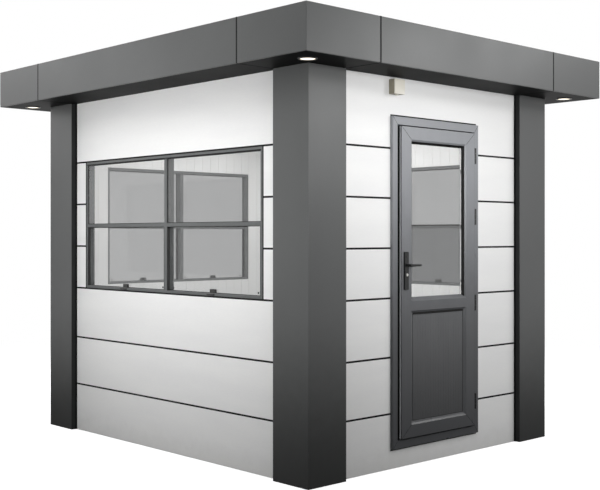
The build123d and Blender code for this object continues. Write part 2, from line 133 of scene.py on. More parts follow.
def add_node(
    tree: bpy.types.NodeTree,
    kind: str,
    settings: dict[str, object] | None = None,
    links: dict[str, bpy.types.NodeSocket] | None = None,
) -> bpy.types.Node:
    """Add one shader node with its settings and links.

    Args:
        tree: The node tree that takes it.
        kind: The node's type.
        settings: Values by property or input socket.
        links: Output sockets by the input that each feeds.

    Returns:
        The new node.
    """
    node = tree.nodes.new(kind)
    for key, value in (settings or {}).items():
        if hasattr(node, key):
            setattr(node, key, value)
        else:
            socket_of(node.inputs, key).default_value = value
    for key, source in (links or {}).items():
        tree.links.new(source, socket_of(node.inputs, key))
    return node


def per_metre(millimetres: float) -> float:
    """Give a texture's scale for a pattern that repeats at this size."""
    return MM_PER_METRE / millimetres


# ---------------------------------------------------------------- finishes


@dataclass(frozen=True)
class Finish:
    """A finish that fills one node material, made once and then shared."""

    name: str

    def material(self) -> bpy.types.Material:
        """Give the finish's material, made at its first use.

        Returns:
            The material.
        """
        made = bpy.data.materials.get(self.name)
        if made is None:
            made = bpy.data.materials.new(self.name)
            made.use_nodes = True
            made.node_tree.nodes.clear()
            output = add_node(made.node_tree, "ShaderNodeOutputMaterial")
            made.node_tree.links.new(self.shader(made.node_tree), output.inputs["Surface"])
        return made

    def shader(self, tree: bpy.types.NodeTree) -> bpy.types.NodeSocket:
        """Build the finish's shader; each kind of finish has its own."""
        raise NotImplementedError


@dataclass(frozen=True)
class Coating(Finish):
    """A coloured skin: paint, foil, moulded plastic, rubber or bare metal.

    A slow drift between two tones, a fine relief, and a roughness that follows the drift.
    """

    colour: str
    tone: str
    roughness: float
    roughness_drift: float = 0.05
    specular: float = 0.5
    patch_mm: float = 320.0
    grain_mm: float = 6.0
    grain_relief_mm: float = 0.02
    grain_tone: float = 0.25
    stretch: tuple[float, float, float] = (1.0, 1.0, 1.0)
    metallic: float = 0.0
    patch_detail: float = 4.0
    grain_detail: float = 2.0
    tone_range: tuple[float, float] = (0.35, 0.65)
    gloss_range: tuple[float, float] = (0.3, 0.7)
    relief_strength: float = 0.6

    def shader(self, tree: bpy.types.NodeTree) -> bpy.types.NodeSocket:
        """Build the drift, the grain and the shader.

        Args:
            tree: The material's node tree.

        Returns:
            The shader's output.
        """
        place = add_node(tree, "ShaderNodeTexCoord").outputs["Object"]
        laid = add_node(
            tree, "ShaderNodeMapping", {"Scale": self.stretch}, {"Vector": place}
        ).outputs["Vector"]
        drift, grain = (
            add_node(
                tree, "ShaderNodeTexNoise", {"Scale": per_metre(size), "Detail": detail}, {"Vector": laid}
            ).outputs["Fac"]
            for size, detail in ((self.patch_mm, self.patch_detail), (self.grain_mm, self.grain_detail))
        )
        blend = socket_of(add_node(
            tree, "ShaderNodeMix", {"data_type": "FLOAT", "Factor_Float": self.grain_tone},
            {"A_Float": drift, "B_Float": grain},
        ).outputs, "Result_Float")
        spread = add_node(
            tree, "ShaderNodeMapRange", dict(zip(("From Min", "From Max"), self.tone_range)), {"Value": blend}
        ).outputs["Result"]
        tint = socket_of(add_node(
            tree, "ShaderNodeMix",
            {"data_type": "RGBA", "A_Color": linear(self.colour), "B_Color": linear(self.tone)},
            {"Factor_Float": spread},
        ).outputs, "Result_Color")
        gloss = add_node(
            tree, "ShaderNodeMapRange",
            {"From Min": self.gloss_range[0], "From Max": self.gloss_range[1],
             "To Min": self.roughness - self.roughness_drift,
             "To Max": self.roughness + self.roughness_drift},
            {"Value": drift},
        ).outputs["Result"]
        relief = add_node(
            tree, "ShaderNodeBump",
            {"Strength": self.relief_strength, "Distance": self.grain_relief_mm * MM}, {"Height": grain},
        ).outputs["Normal"]
        skin = add_node(
            tree, "ShaderNodeBsdfPrincipled",
            {"Metallic": self.metallic, "Specular IOR Level": self.specular},
            {"Base Color": tint, "Roughness": gloss, "Normal": relief},
        )
        return skin.outputs["BSDF"]


@dataclass(frozen=True)
class DustAndShadeCoating(Coating):
    """A coating that turns towards a darker colour from a given height down, with a ragged edge.

    It covers its share of the colour up to dust_and_shade_full, and ends at dust_and_shade_height, both in
    metres. On the door and the posts the darker colour is painted shade; on the planks it is dust and
    painted shade.
    """

    dust_and_shade: str = "8E897F"
    dust_and_shade_full: float = 0.0
    dust_and_shade_height: float = 0.16
    dust_and_shade_share: float = 0.1
    ragged_mm: float = 60.0
    ragged_detail: float = 5.0
    ragged_reach: float = 0.08

    def shader(self, tree: bpy.types.NodeTree) -> bpy.types.NodeSocket:
        """Build the coating and lay the darker colour over its lower part: painted shade, and on the planks
        dust too.

        Args:
            tree: The material's node tree.

        Returns:
            The shader's output.
        """
        made = super().shader(tree)
        place = add_node(tree, "ShaderNodeTexCoord").outputs["Object"]
        height = add_node(tree, "ShaderNodeSeparateXYZ", None, {"Vector": place}).outputs["Z"]
        ragged = add_node(
            tree, "ShaderNodeTexNoise", {"Scale": per_metre(self.ragged_mm), "Detail": self.ragged_detail},
            {"Vector": place},
        ).outputs["Fac"]
        edge = add_node(
            tree, "ShaderNodeMapRange", {"To Min": -self.ragged_reach, "To Max": self.ragged_reach},
            {"Value": ragged},
        ).outputs["Result"]
        level = add_node(
            tree, "ShaderNodeMath", {"operation": "ADD"}, {"Value": height, "Value_001": edge}
        ).outputs["Value"]
        share = add_node(
            tree, "ShaderNodeMapRange",
            {"From Min": self.dust_and_shade_full, "From Max": self.dust_and_shade_height, "To Min": self.dust_and_shade_share,
             "To Max": 0.0, "interpolation_type": "SMOOTHSTEP"},
            {"Value": level},
        ).outputs["Result"]
        # The darker colour laid over the lower part is painted shade, and on the planks dust as well.
        undarkened = made.node.inputs["Base Color"].links[0].from_socket
        darkened = socket_of(add_node(
            tree, "ShaderNodeMix", {"data_type": "RGBA", "B_Color": linear(self.dust_and_shade)},
            {"Factor_Float": share, "A_Color": undarkened},
        ).outputs, "Result_Color")
        tree.links.new(darkened, made.node.inputs["Base Color"])
        return made


@dataclass(frozen=True)
class FloatGlass(Finish):
    """Drawn flat glass: smooth on both faces, with its own tint, and clear to lamp light."""

    tint: str
    roughness: float = 0.0
    index: float = 1.45
    haze_mm: float = 240.0
    haze_detail: float = 3.0
    haze_tone: float = 0.96

    def shader(self, tree: bpy.types.NodeTree) -> bpy.types.NodeSocket:
        """Build the glass and the clear way for lamp light.

        Args:
            tree: The material's node tree.

        Returns:
            The shader's output.
        """
        place = add_node(tree, "ShaderNodeTexCoord").outputs["Object"]
        haze = add_node(
            tree, "ShaderNodeTexNoise", {"Scale": per_metre(self.haze_mm), "Detail": self.haze_detail},
            {"Vector": place},
        ).outputs["Fac"]
        *body, alpha = linear(self.tint)
        deeper = (self.haze_tone * channel for channel in body)
        tint = socket_of(add_node(
            tree, "ShaderNodeMix",
            {"data_type": "RGBA", "A_Color": (*body, alpha), "B_Color": (*deeper, alpha)},
            {"Factor_Float": haze},
        ).outputs, "Result_Color")
        glass = add_node(
            tree, "ShaderNodeBsdfPrincipled",
            {"Roughness": self.roughness, "IOR": self.index, "Transmission Weight": 1.0},
            {"Base Color": tint},
        ).outputs["BSDF"]
        clear = add_node(tree, "ShaderNodeBsdfTransparent", None, {"Color": tint}).outputs["BSDF"]
        lamp_ray = add_node(tree, "ShaderNodeLightPath").outputs["Is Shadow Ray"]
        return add_node(
            tree, "ShaderNodeMixShader", None, {"Fac": lamp_ray, "Shader": glass, "Shader_001": clear}
        ).outputs["Shader"]


@dataclass(frozen=True)
class LampLens(Finish):
    """A frosted lens over a lit lamp, with fine moulded prisms that are brighter at their middles."""

    colour: str
    strength: float
    rim_share: float = 0.7
    roughness: float = 0.35
    prism_mm: float = 6.0
    prism_relief_mm: float = 0.4
    relief_strength: float = 0.5

    def shader(self, tree: bpy.types.NodeTree) -> bpy.types.NodeSocket:
        """Build the lens.

        Args:
            tree: The material's node tree.

        Returns:
            The shader's output.
        """
        place = add_node(tree, "ShaderNodeTexCoord").outputs["Object"]
        prisms = add_node(
            tree, "ShaderNodeTexVoronoi", {"Scale": per_metre(self.prism_mm)}, {"Vector": place}
        ).outputs["Distance"]
        glow = add_node(
            tree, "ShaderNodeMapRange", {"To Min": self.strength, "To Max": self.rim_share * self.strength},
            {"Value": prisms},
        ).outputs["Result"]
        relief = add_node(
            tree, "ShaderNodeBump",
            {"Strength": self.relief_strength, "Distance": self.prism_relief_mm * MM}, {"Height": prisms},
        ).outputs["Normal"]
        lens = add_node(
            tree, "ShaderNodeBsdfPrincipled",
            {"Base Color": linear(self.colour), "Emission Color": linear(self.colour),
             "Roughness": self.roughness},
            {"Emission Strength": glow, "Normal": relief},
        )
        return lens.outputs["BSDF"]


# Peel, pores, stipple and brush marks that are finer than this in real life are drawn 1 to 12 mm across, so
# that they still show.

# Polyester powder, sprayed dry and baked on folded steel: a fine orange peel and an even satin sheen.
# The real peel is 1 to 2 mm across; it is drawn at 7 mm so that it still shows.
GRAPHITE = Coating(
    "graphite_powder_coat", "5B5C5C", "575858", roughness=0.33, specular=0.17,
    patch_mm=520.0, grain_mm=7.0, grain_relief_mm=0.03,
)
# The same on the posts, darker towards the foot up to a metre high, which is painted shade.
GRAPHITE_POST = DustAndShadeCoating(
    "graphite_powder_coat_painted_shade", "5D5E5E", "595A5A", roughness=0.33, specular=0.17,
    patch_mm=520.0, grain_mm=7.0, grain_relief_mm=0.03, dust_and_shade="1E1E1D", dust_and_shade_height=1.0, dust_and_shade_share=0.6,
)
# The same powder, thinly sprayed from below: it mirrors only at low angles. Its colour is painted near
# black, as the shade under the overhang.
SOFFIT_PAINTED_SHADE = Coating(
    "soffit_powder_coat_painted_shade", "111212", "0F1010", roughness=0.5, roughness_drift=0.04, specular=0.03,
    patch_mm=600.0, grain_mm=9.0, grain_relief_mm=0.01,
)
# Coil-coated steel sheet, rolled out with a polyester lacquer: faint streaks along the plank, and a
# little darkening at its foot that is dust and painted shade.
WHITE_SHEET = DustAndShadeCoating(
    "white_coil_coated_steel", "EFEFEE", "EAEAEA", roughness=0.38, specular=0.4, patch_mm=260.0,
    grain_mm=9.0, grain_relief_mm=0.015, grain_tone=0.35, stretch=(0.35, 0.35, 2.2),
)
# Breather membrane stretched over the insulated core, all but black, with a woven backing.
MEMBRANE = Coating(
    "black_breather_membrane", "101010", "0B0B0B", roughness=0.85, specular=0.2, patch_mm=90.0,
    grain_mm=4.0, grain_relief_mm=0.1,
)
# Foamed PVC lining boards, extruded: smooth and satin, slightly drawn along the board.
LINING = Coating(
    "white_pvc_lining", "EAEAE9", "E5E5E4", roughness=0.4, patch_mm=200.0, grain_mm=8.0,
    grain_relief_mm=0.02, stretch=(2.0, 2.0, 0.3),
)
# Homogeneous vinyl sheet: chips in two greys, pressed together under a matt sealer.
VINYL = Coating(
    "grey_vinyl_sheet", "75787A", "5D6062", roughness=0.5, patch_mm=40.0, grain_mm=5.0,
    grain_relief_mm=0.02, grain_tone=0.7,
)
# Lead-free primer brushed on hot-rolled steel: dull and slightly uneven.
PRIMED_STEEL = Coating(
    "black_primed_steel", "1E1E1E", "171717", roughness=0.6, patch_mm=110.0, grain_mm=5.0,
    grain_relief_mm=0.08, stretch=(1.0, 0.4, 1.0),
)
# Powder-coated aluminium extrusion: the same graphite, a little lighter and duller than on the sheets.
WINDOW_PROFILE = Coating(
    "graphite_coated_aluminium", "656767", "606262", roughness=0.45, specular=0.15, patch_mm=260.0,
    grain_mm=5.0, grain_relief_mm=0.02,
)
# Unplasticised PVC profile under an embossed grey foil: fine pores and a soft sheen. It darkens from the
# head down, which is painted shade.
DOOR_FOIL = DustAndShadeCoating(
    "grey_foiled_pvc", "919397", "8B8D91", roughness=0.31, roughness_drift=0.04, specular=0.27,
    patch_mm=180.0, grain_mm=4.0, grain_relief_mm=0.03, grain_tone=0.4, stretch=(1.6, 1.6, 0.5),
    dust_and_shade="1F1F1F", dust_and_shade_full=0.6, dust_and_shade_height=2.0, dust_and_shade_share=0.76,
)
# The same foil in a darker grey on the lower panel, with its pores drawn out along the staves. It darkens
# towards its foot, which is painted shade.
DOOR_INFILL = DustAndShadeCoating(
    "grey_foiled_infill", "707173", "6B6C6E", roughness=0.38, specular=0.22,
    patch_mm=150.0, grain_mm=4.0, grain_relief_mm=0.03, grain_tone=0.4, stretch=(2.2, 2.2, 0.35),
    dust_and_shade="1F1F1F", dust_and_shade_full=0.1, dust_and_shade_height=1.6, dust_and_shade_share=0.66,
)
# Extruded EPDM rubber: dense black with a talc bloom.
RUBBER = Coating(
    "black_epdm_rubber", "0F0F0F", "141414", roughness=0.6, specular=0.12, patch_mm=60.0, grain_mm=3.0,
    grain_relief_mm=0.03,
)
# Glass-filled nylon, moulded against a spark-eroded tool: an even fine stipple.
NYLON = Coating(
    "black_moulded_nylon", "171717", "121212", roughness=0.45, patch_mm=40.0, grain_mm=2.0,
    grain_relief_mm=0.04,
)
# Zinc casting under black stoved lacquer: smooth, with a tight satin highlight.
BLACK_METAL = Coating(
    "black_lacquered_zinc", "141516", "101112", roughness=0.32, specular=0.3, patch_mm=50.0, grain_mm=3.0,
    grain_relief_mm=0.01,
)
# Turned and brushed stainless steel: bright, with the brush marks as fine lines.
STEEL = Coating(
    "brushed_stainless_steel", "C9C8C4", "B4B3AF", roughness=0.28, patch_mm=20.0, grain_mm=1.2,
    grain_relief_mm=0.02, stretch=(4.0, 4.0, 0.4), metallic=1.0,
)
# Reinforced bitumen-free roofing sheet: matt, dimpled by its fleece, with settled dust.
ROOF_SHEET = Coating(
    "grey_roofing_membrane", "6E6F6D", "5F605E", roughness=0.75, specular=0.3, patch_mm=380.0,
    grain_mm=12.0, grain_relief_mm=0.3, grain_tone=0.35,
)
# ABS, injection moulded against a lightly textured tool: warm beige with a low sheen.
BEIGE_ABS = Coating(
    "beige_moulded_abs", "E6E2D6", "DFDBCF", roughness=0.4, patch_mm=60.0, grain_mm=3.0,
    grain_relief_mm=0.04,
)
# The box behind the lid, of the same plastic: painted darker as shade, and duller.
SHADED_ABS = Coating(
    "beige_abs_painted_shade", "97917F", "8D8776", roughness=0.5, patch_mm=60.0, grain_mm=3.0,
    grain_relief_mm=0.05,
)
# Dark sheet beside each post, powder-coated near black and matt: painted shade on the post's inner side.
POST_FLANK_SHADE = Coating(
    "post_flank_painted_shade", "2C2D2D", "282929", roughness=0.45, specular=0.1, patch_mm=300.0,
    grain_mm=7.0, grain_relief_mm=0.02,
)
# Pale grey with a soft sheen on the door leaf's upright sides: painted light on their front part.
LEAF_SIDE_LIGHT = Coating(
    "leaf_side_painted_light", "B4B6B9", "AEB0B3", roughness=0.3, specular=0.4, patch_mm=160.0, grain_mm=4.0,
    grain_relief_mm=0.02,
)
# Dark lacquer on the die-cast trim of the lamps: thin and even.
LAMP_TRIM = Coating(
    "dark_lamp_trim", "2A2B2B", "242525", roughness=0.35, patch_mm=30.0, grain_mm=2.0,
    grain_relief_mm=0.01,
)
# Float glass, drawn out flat over molten tin: clear, and in a grey body tint; the right window's lower
# panes are drawn darker still.
NEAR_GLASS = FloatGlass("clear_float_glass", "E5E5E5")
GREY_GLASS = FloatGlass("grey_tinted_float_glass", "B6B7B7")
DARK_GLASS = FloatGlass("darkest_float_glass", "797A7B")
# Moulded acrylic lens over a warm white lamp: frosted, with prisms a few millimetres across.
LENS = LampLens("frosted_lamp_lens", "FFF3E0", 2.2)


# ---------------------------------------------------------------- mesh pieces


def towards(axis: Point) -> Matrix:
    """Give the turn that lays the Z axis along this one."""
    return Vector(axis).to_track_quat("Z", "Y").to_matrix().to_4x4()


class Shape:
    """A mesh in the making, shaped by bmesh operators."""

    def __init__(self) -> None:
        """Start with an empty mesh."""
        self.mesh = bmesh.new()

    def added(self, before: set[bmesh.types.BMVert]) -> list[bmesh.types.BMVert]:
        """List the vertices that weren't there before."""
        return [vert for vert in self.mesh.verts if vert not in before]

    def edges(self, verts: Iterable[bmesh.types.BMVert]) -> list[bmesh.types.BMEdge]:
        """List the edges at some vertices, in the same order on every run."""
        return list(dict.fromkeys(each for vert in verts for each in vert.link_edges))

    def faces(self, verts: Iterable[bmesh.types.BMVert]) -> list[bmesh.types.BMFace]:
        """List the faces at some vertices, in the same order on every run."""
        return list(dict.fromkeys(each for vert in verts for each in vert.link_faces))

    def roll(self, verts: Iterable[bmesh.types.BMVert], edge: float) -> None:
        """Round the sharp edges of some vertices.

        Args:
            verts: The vertices whose edges are rounded.
            edge: How far the rounding reaches from each edge.
        """
        sharp = [
            each for each in self.edges(verts)
            if len(each.link_faces) == 2 and each.calc_face_angle(0.0) > ROLLED_ANGLE
        ]
        bmesh.ops.bevel(
            self.mesh, geom=sharp, offset=edge, offset_type="OFFSET", segments=EDGE_SEGMENTS,
            profile=0.5, affect="EDGES", material=-1, clamp_overlap=True,
        )

    def block(self, low: Point, high: Point, edge: float = 0.0) -> "Shape":
        """Add a bar, strip or board with rolled edges.

        Args:
            low: Its lowest corner.
            high: Its highest corner.
            edge: The radius of its edges.

        Returns:
            The shape itself.
        """
        size = Vector(high) - Vector(low)
        centre = (Vector(high) + Vector(low)) / 2
        made = bmesh.ops.create_cube(
            self.mesh, size=1.0, matrix=Matrix.Translation(centre) @ Matrix.Diagonal((*size, 1.0))
        )
        if edge:
            self.roll(made["verts"], min(edge, EDGE_SHARE * min(size)))
        return self

    def stroke(self, start: Point, end: Point, width: float, depth: float) -> "Shape":
        """Add a thin strip along a line of one XZ plane.

        Args:
            start: Where it starts.
            end: Where it ends.
            width: Its width in that plane.
            depth: Its thickness along Y, half of it on either side.

        Returns:
            The shape itself.
        """
        run = Vector(end) - Vector(start)
        turn = Matrix.Rotation(-math.atan2(run.z, run.x), MATRIX_SIZE, "Y")
        bmesh.ops.create_cube(
            self.mesh, size=1.0,
            matrix=Matrix.Translation((Vector(start) + Vector(end)) / 2) @ turn
            @ Matrix.Diagonal((run.length, depth, width, 1.0)),
        )
        return self

    def hoop(self, low: Point, high: Point, face: float, edge: float = 0.0, lean: float = 0.0) -> "Shape":
        """Add an upright rectangular ring with its hole along Y.

        Args:
            low: The lowest corner of its outside.
            high: The highest corner of its outside.
            face: The width of its four sides.
            edge: The radius of its edges.
            lean: How much further along Y its inner edge lies than its outer edge.

        Returns:
            The shape itself.
        """
        outline = [
            bmesh.ops.create_vert(self.mesh, co=(x, low[1], z))["vert"][0]
            for x, z in ((low[0], low[2]), (high[0], low[2]), (high[0], high[2]), (low[0], high[2]))
        ]
        middle = bmesh.ops.contextual_create(self.mesh, geom=outline)["faces"][0]
        facing = -1.0 if middle.normal.y > 0 else 1.0
        sides = bmesh.ops.inset_individual(
            self.mesh, faces=[middle], thickness=face, depth=-facing * lean, use_even_offset=True
        )["faces"]
        bmesh.ops.delete(self.mesh, geom=[middle], context="FACES_ONLY")
        front = [vert for side in sides for vert in side.verts]
        grown = bmesh.ops.extrude_face_region(self.mesh, geom=sides)["geom"]
        rear = [each for each in grown if isinstance(each, bmesh.types.BMVert)]
        bmesh.ops.translate(self.mesh, vec=(0, high[1] - low[1], 0), verts=rear)
        verts = list(dict.fromkeys(front + rear))
        bmesh.ops.recalc_face_normals(self.mesh, faces=self.faces(verts))
        if edge:
            self.roll(verts, edge)
        return self

    def disc(
        self, centre: Point, axis: Point, radius: float, depth: float, edge: float, sides: int,
    ) -> "Shape":
        """Add a round button.

        Args:
            centre: The middle of its back face.
            axis: The direction that its front faces.
            radius: Its radius.
            depth: How far it stands out.
            edge: The radius of its edges.
            sides: How many sides the round has.

        Returns:
            The shape itself.
        """
        middle = Matrix.Translation(Vector(centre) + Vector(axis).normalized() * depth / 2)
        made = bmesh.ops.create_cone(
            self.mesh, cap_ends=True, segments=sides, radius1=radius, radius2=radius, depth=depth,
            matrix=middle @ towards(axis),
        )
        self.roll(made["verts"], edge)
        return self

    def lathe(
        self, profile: Profile, centre: Point, axis: Point, steps: int, radius: float = 1.0,
        height: float = 1.0,
    ) -> "Shape":
        """Spin a profile round an axis.

        Args:
            profile: Pairs of radius and height along the axis, a closed ring or closed on the axis.
            centre: The point on the axis where the height is zero.
            axis: The direction of growing height.
            steps: How many steps make the turn.
            radius: What the profile's radii are shares of.
            height: What its heights are shares of.

        Returns:
            The shape itself.
        """
        verts = [
            bmesh.ops.create_vert(self.mesh, co=(across * radius, 0, along * height))["vert"][0]
            for across, along in profile
        ]
        edges = [
            bmesh.ops.contextual_create(self.mesh, geom=list(pair))["edges"][0]
            for pair in zip(verts, verts[1:])
        ]
        before = set(self.mesh.verts) - set(verts)
        bmesh.ops.spin(
            self.mesh, geom=verts + edges, cent=(0, 0, 0), axis=(0, 0, 1), dvec=(0, 0, 0), angle=math.tau,
            steps=steps, use_merge=True, use_duplicate=False,
        )
        bmesh.ops.remove_doubles(self.mesh, verts=self.added(before), dist=MERGE_GAP)
        made = self.added(before)
        bmesh.ops.recalc_face_normals(self.mesh, faces=self.faces(made))
        bmesh.ops.transform(self.mesh, matrix=Matrix.Translation(centre) @ towards(axis), verts=made)
        return self

    def packed(self, node: str, edge: float = 0.0) -> "Shape":
        """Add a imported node's solids with their sharp edges rolled.

        Args:
            node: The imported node.
            edge: The radius of the rolled edges.

        Returns:
            The shape itself.
        """
        before = set(self.mesh.verts)
        self.mesh.from_mesh(frame["nodes"][node].data)
        bmesh.ops.remove_doubles(self.mesh, verts=self.added(before), dist=MERGE_GAP)
        made = self.added(before)
        bmesh.ops.dissolve_limit(
            self.mesh, angle_limit=FLAT_ANGLE, use_dissolve_boundaries=False, verts=made,
            edges=self.edges(made), delimit={"NORMAL"},
        )
        made = self.added(before)
        for face in self.faces(made):
            face.material_index = 0
        if edge:
            self.roll(made, edge)
        return self

    def slide(self, low: float, high: float, rise: float) -> "Shape":
        """Move what lies between two heights up or down.

        Args:
            low: The lower height.
            high: The upper height.
            rise: How far it moves.

        Returns:
            The shape itself.
        """
        for vert in self.mesh.verts:
            if low < vert.co.z < high:
                vert.co.z += rise
        return self

    def piece(
        self,
        name: str,
        finish: Finish,
        slot: str,
        body: Body = Body.CABIN,
        turns: Sequence[Matrix] = (),
        replaces: Sequence[str] = (),
    ) -> None:
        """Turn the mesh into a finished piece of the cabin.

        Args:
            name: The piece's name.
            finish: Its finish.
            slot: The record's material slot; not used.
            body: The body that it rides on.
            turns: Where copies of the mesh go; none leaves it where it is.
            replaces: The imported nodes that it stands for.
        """
        mesh = bpy.data.meshes.new(name)
        if turns:
            single = bpy.data.meshes.new(name + "_single")
            self.mesh.to_mesh(single)
            self.mesh.clear()
            for turn in turns:
                before = set(self.mesh.verts)
                self.mesh.from_mesh(single)
                bmesh.ops.transform(self.mesh, matrix=turn, verts=self.added(before))
            bpy.data.meshes.remove(single)
        self.mesh.to_mesh(mesh)
        self.mesh.free()
        for polygon in mesh.polygons:
            polygon.use_smooth = True
        mesh.set_sharp_from_angle(angle=SHARP_ANGLE)
        mesh.materials.append(finish.material())
        made = bpy.data.objects.new(name, mesh)
        bpy.context.scene.collection.objects.link(made)
        weighted = made.modifiers.new("even_flats", "WEIGHTED_NORMAL")
        weighted.keep_sharp = True
        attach(made, body.value)
        if replaces:
            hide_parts(*replaces)
        LOG.info("%s: %d faces on %s", name, len(mesh.polygons), body.value)


def dress(node: str, finish: Finish) -> None:
    """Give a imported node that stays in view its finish.

    Args:
        node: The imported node.
        finish: Its finish.
    """
    for slot in frame["nodes"][node].material_slots:
        slot.material = finish.material()
    LOG.info("%s: %s", node, finish.name)


def stand_in(node: str, ending: str, edge: float, finish: Finish, slot: str, body: Body = Body.CABIN) -> None:
    """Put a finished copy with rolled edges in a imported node's place.

    Args:
        node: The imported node.
        ending: What the copy's name adds to the node's.
        edge: The radius of the rolled edges.
        finish: The copy's finish.
        slot: The record's material slot.
        body: The body that it rides on.
    """
    Shape().packed(node, edge).piece(node + ending, finish, slot, body, replaces=[node])


def solids(node: str, inverse: Matrix | None = None) -> list[Box]:
    """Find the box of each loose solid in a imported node.

    Args:
        node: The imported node.
        inverse: The transform from the cabin's axes to those of the boxes, if they differ.

    Returns:
        The lowest and highest corner of each solid, from the lowest up and then along X.
    """
    shape = bmesh.new()
    shape.from_mesh(frame["nodes"][node].data)
    bmesh.ops.remove_doubles(shape, verts=shape.verts, dist=MERGE_GAP)
    if inverse is not None:
        bmesh.ops.transform(shape, matrix=inverse, verts=shape.verts)
    found: list[Box] = []
    seen: set[bmesh.types.BMVert] = set()
    for first in shape.verts:
        if first in seen:
            continue
        seen.add(first)
        island, todo = [], [first]
        while todo:
            vert = todo.pop()
            island.append(vert.co.copy())
            near = {each.other_vert(vert) for each in vert.link_edges} - seen
            seen |= near
            todo += near
        found.append((Vector(map(min, zip(*island))), Vector(map(max, zip(*island)))))
    shape.free()
    return sorted(found, key=lambda box: (round(box[0].z, PLACE_DIGITS), round(box[0].x, PLACE_DIGITS)))


class Side(Enum):
    """The four walls, by the way that each faces in plan."""

    FRONT = (0, -1)
    LEFT = (-1, 0)
    RIGHT = (1, 0)
    BACK = (0, 1)

    def node(self, ending: str) -> str:
        """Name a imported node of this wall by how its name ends."""
        return f"{self.name.lower()}_{ending}"

    def opening(self) -> str:
        """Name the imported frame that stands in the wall."""
        return "door_frame" if self is Side.FRONT else self.node("window_frame")

    def axes(self) -> Matrix:
        """Give the wall's own axes: X along it as seen from outside, Y into the cabin, Z up.

        Returns:
            The transform from those axes, which start at the posts' outer face, to the cabin's.
        """
        out_x, out_y = self.value
        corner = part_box("post_back_right")[1]
        outer = corner.x if out_x else corner.y
        return Matrix((
            (-out_y, -out_x, 0, out_x * outer),
            (out_x, -out_y, 0, out_y * outer),
            (0, 0, 1, 0),
            (0, 0, 0, 1),
        ))

    def local(self, node: str) -> Box:
        """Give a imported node's box in the wall's own axes.

        Args:
            node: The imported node.

        Returns:
            Its lowest and highest corners.
        """
        inverse = self.axes().inverted()
        ends = [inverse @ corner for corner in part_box(node)]
        return Vector(map(min, *ends)), Vector(map(max, *ends))


# ---------------------------------------------------------------- sub-assemblies


@dataclass(frozen=True)
class Carcass:
    """Base, floor, wall cores, posts and planks."""

    plank_edge: float = 2.2 * MM
    post_edge: float = 1.8 * MM
    cladding: tuple[str, ...] = (
        "front_cladding", "front_cladding_notched", "left_cladding", "right_cladding", "back_cladding",
    )
    cores: tuple[str, ...] = (
        "front_wall_left", "front_wall_right", "front_wall_head", "left_wall", "right_wall", "back_wall",
    )
    posts: tuple[str, ...] = ("post_front_left", "post_front_right", "post_back_left", "post_back_right")

    def build(self) -> None:
        """Dress the hidden parts and roll the edges of the posts and planks."""
        dress("base_frame", PRIMED_STEEL)
        dress("floor_deck", VINYL)
        for node in self.cores:
            dress(node, MEMBRANE)
        for node in self.posts:
            stand_in(node, "_sheet", self.post_edge, GRAPHITE_POST, "graphite_sheet")
        for node in self.cladding:
            stand_in(node, "_sheets", self.plank_edge, WHITE_SHEET, "white_sheet")


@dataclass(frozen=True)
class Seals:
    """The rubber in the joints of the planks, round the windows and the door, and beside the posts.

    The dark sheets on the posts' inner sides are painted shade.
    """

    setback: float = 0.4 * MM
    thickness: float = 4 * MM
    overlap: float = 1.9 * MM
    widest_joint: float = 15 * MM
    flank_inset: float = 2 * MM
    flank_sheet: float = 1.2 * MM
    flank_edge: float = 0.3 * MM
    bead_height: float = 9 * MM
    bead_thickness: float = 1.4 * MM
    bead_edge: float = 0.35 * MM

    def planks(self, strips: Shape, boxes: Sequence[Box], front: float) -> None:
        """Fill the level joints between planks.

        Args:
            strips: The shape that takes the rubber.
            boxes: Each plank's box in the wall's own axes.
            front: Where the rubber's face lies.
        """
        for low, high in boxes:
            for next_low, next_high in boxes:
                gap = next_low.z - high.z
                start, end = max(low.x, next_low.x), min(high.x, next_high.x)
                if 0 < gap < self.widest_joint and end > start:
                    strips.block(
                        (start, front, high.z - self.overlap),
                        (end, front + self.thickness, next_low.z + self.overlap),
                    )

    def surround(self, strips: Shape, side: Side, joint: float, front: float) -> None:
        """Fill the joint round a window's or the door's frame.

        Args:
            strips: The shape that takes the rubber.
            side: The wall.
            joint: The joint's width.
            front: Where the rubber's face lies.
        """
        low, high = side.local(side.opening())
        wide = joint + self.overlap
        strips.hoop(
            (low.x - wide, front, low.z - wide), (high.x + wide, front + self.thickness, high.z + wide), wide,
        )

    def wall(self, side: Side) -> None:
        """Seal one wall, and lay a dark sheet on each post's inner side as painted shade.

        Args:
            side: The wall.
        """
        inverse = side.axes().inverted()
        planks = [node for node in Carcass.cladding if node.startswith(side.node("cladding"))]
        boxes = [box for node in planks for box in solids(node, inverse)]
        face = min(low.y for low, _ in boxes)
        top = max(high.z for _, high in boxes)
        front = face + self.setback
        posts = sorted(
            (box for box in map(side.local, Carcass.posts) if box[0].y < NEAR_GAP), key=lambda box: box[0].x
        )
        flanks = (
            (posts[0][1].x, min(low.x for low, _ in boxes), 1),
            (posts[1][0].x, max(high.x for _, high in boxes), -1),
        )
        strips, trims = Shape(), Shape()
        self.planks(strips, boxes, front)
        self.surround(strips, side, flanks[0][1] - flanks[0][0], front + NEAR_GAP)
        for flank, plank, way in flanks:
            sheet, cover = flank + way * self.flank_sheet, plank + way * self.overlap
            bead = sheet + way * self.bead_thickness
            # The first run is a dark sheet on the post's flank, which is painted shade; the other two are
            # rubber.
            for shape, ends, near, far, edge in (
                (trims, (flank, sheet), self.flank_inset, front, self.flank_edge),
                (strips, (flank, cover), front, front + self.thickness, 0.0),
                (strips, (sheet, bead), face - self.bead_height, front, self.bead_edge),
            ):
                shape.block((min(ends), near, 0), (max(ends), far, top), edge)
        strips.piece(side.node("joint_seals"), RUBBER, "black_membrane", turns=[side.axes()])
        trims.piece(side.node("post_trims"), POST_FLANK_SHADE, "graphite_sheet", turns=[side.axes()])

    def build(self) -> None:
        """Seal the four walls."""
        for side in Side:
            self.wall(side)


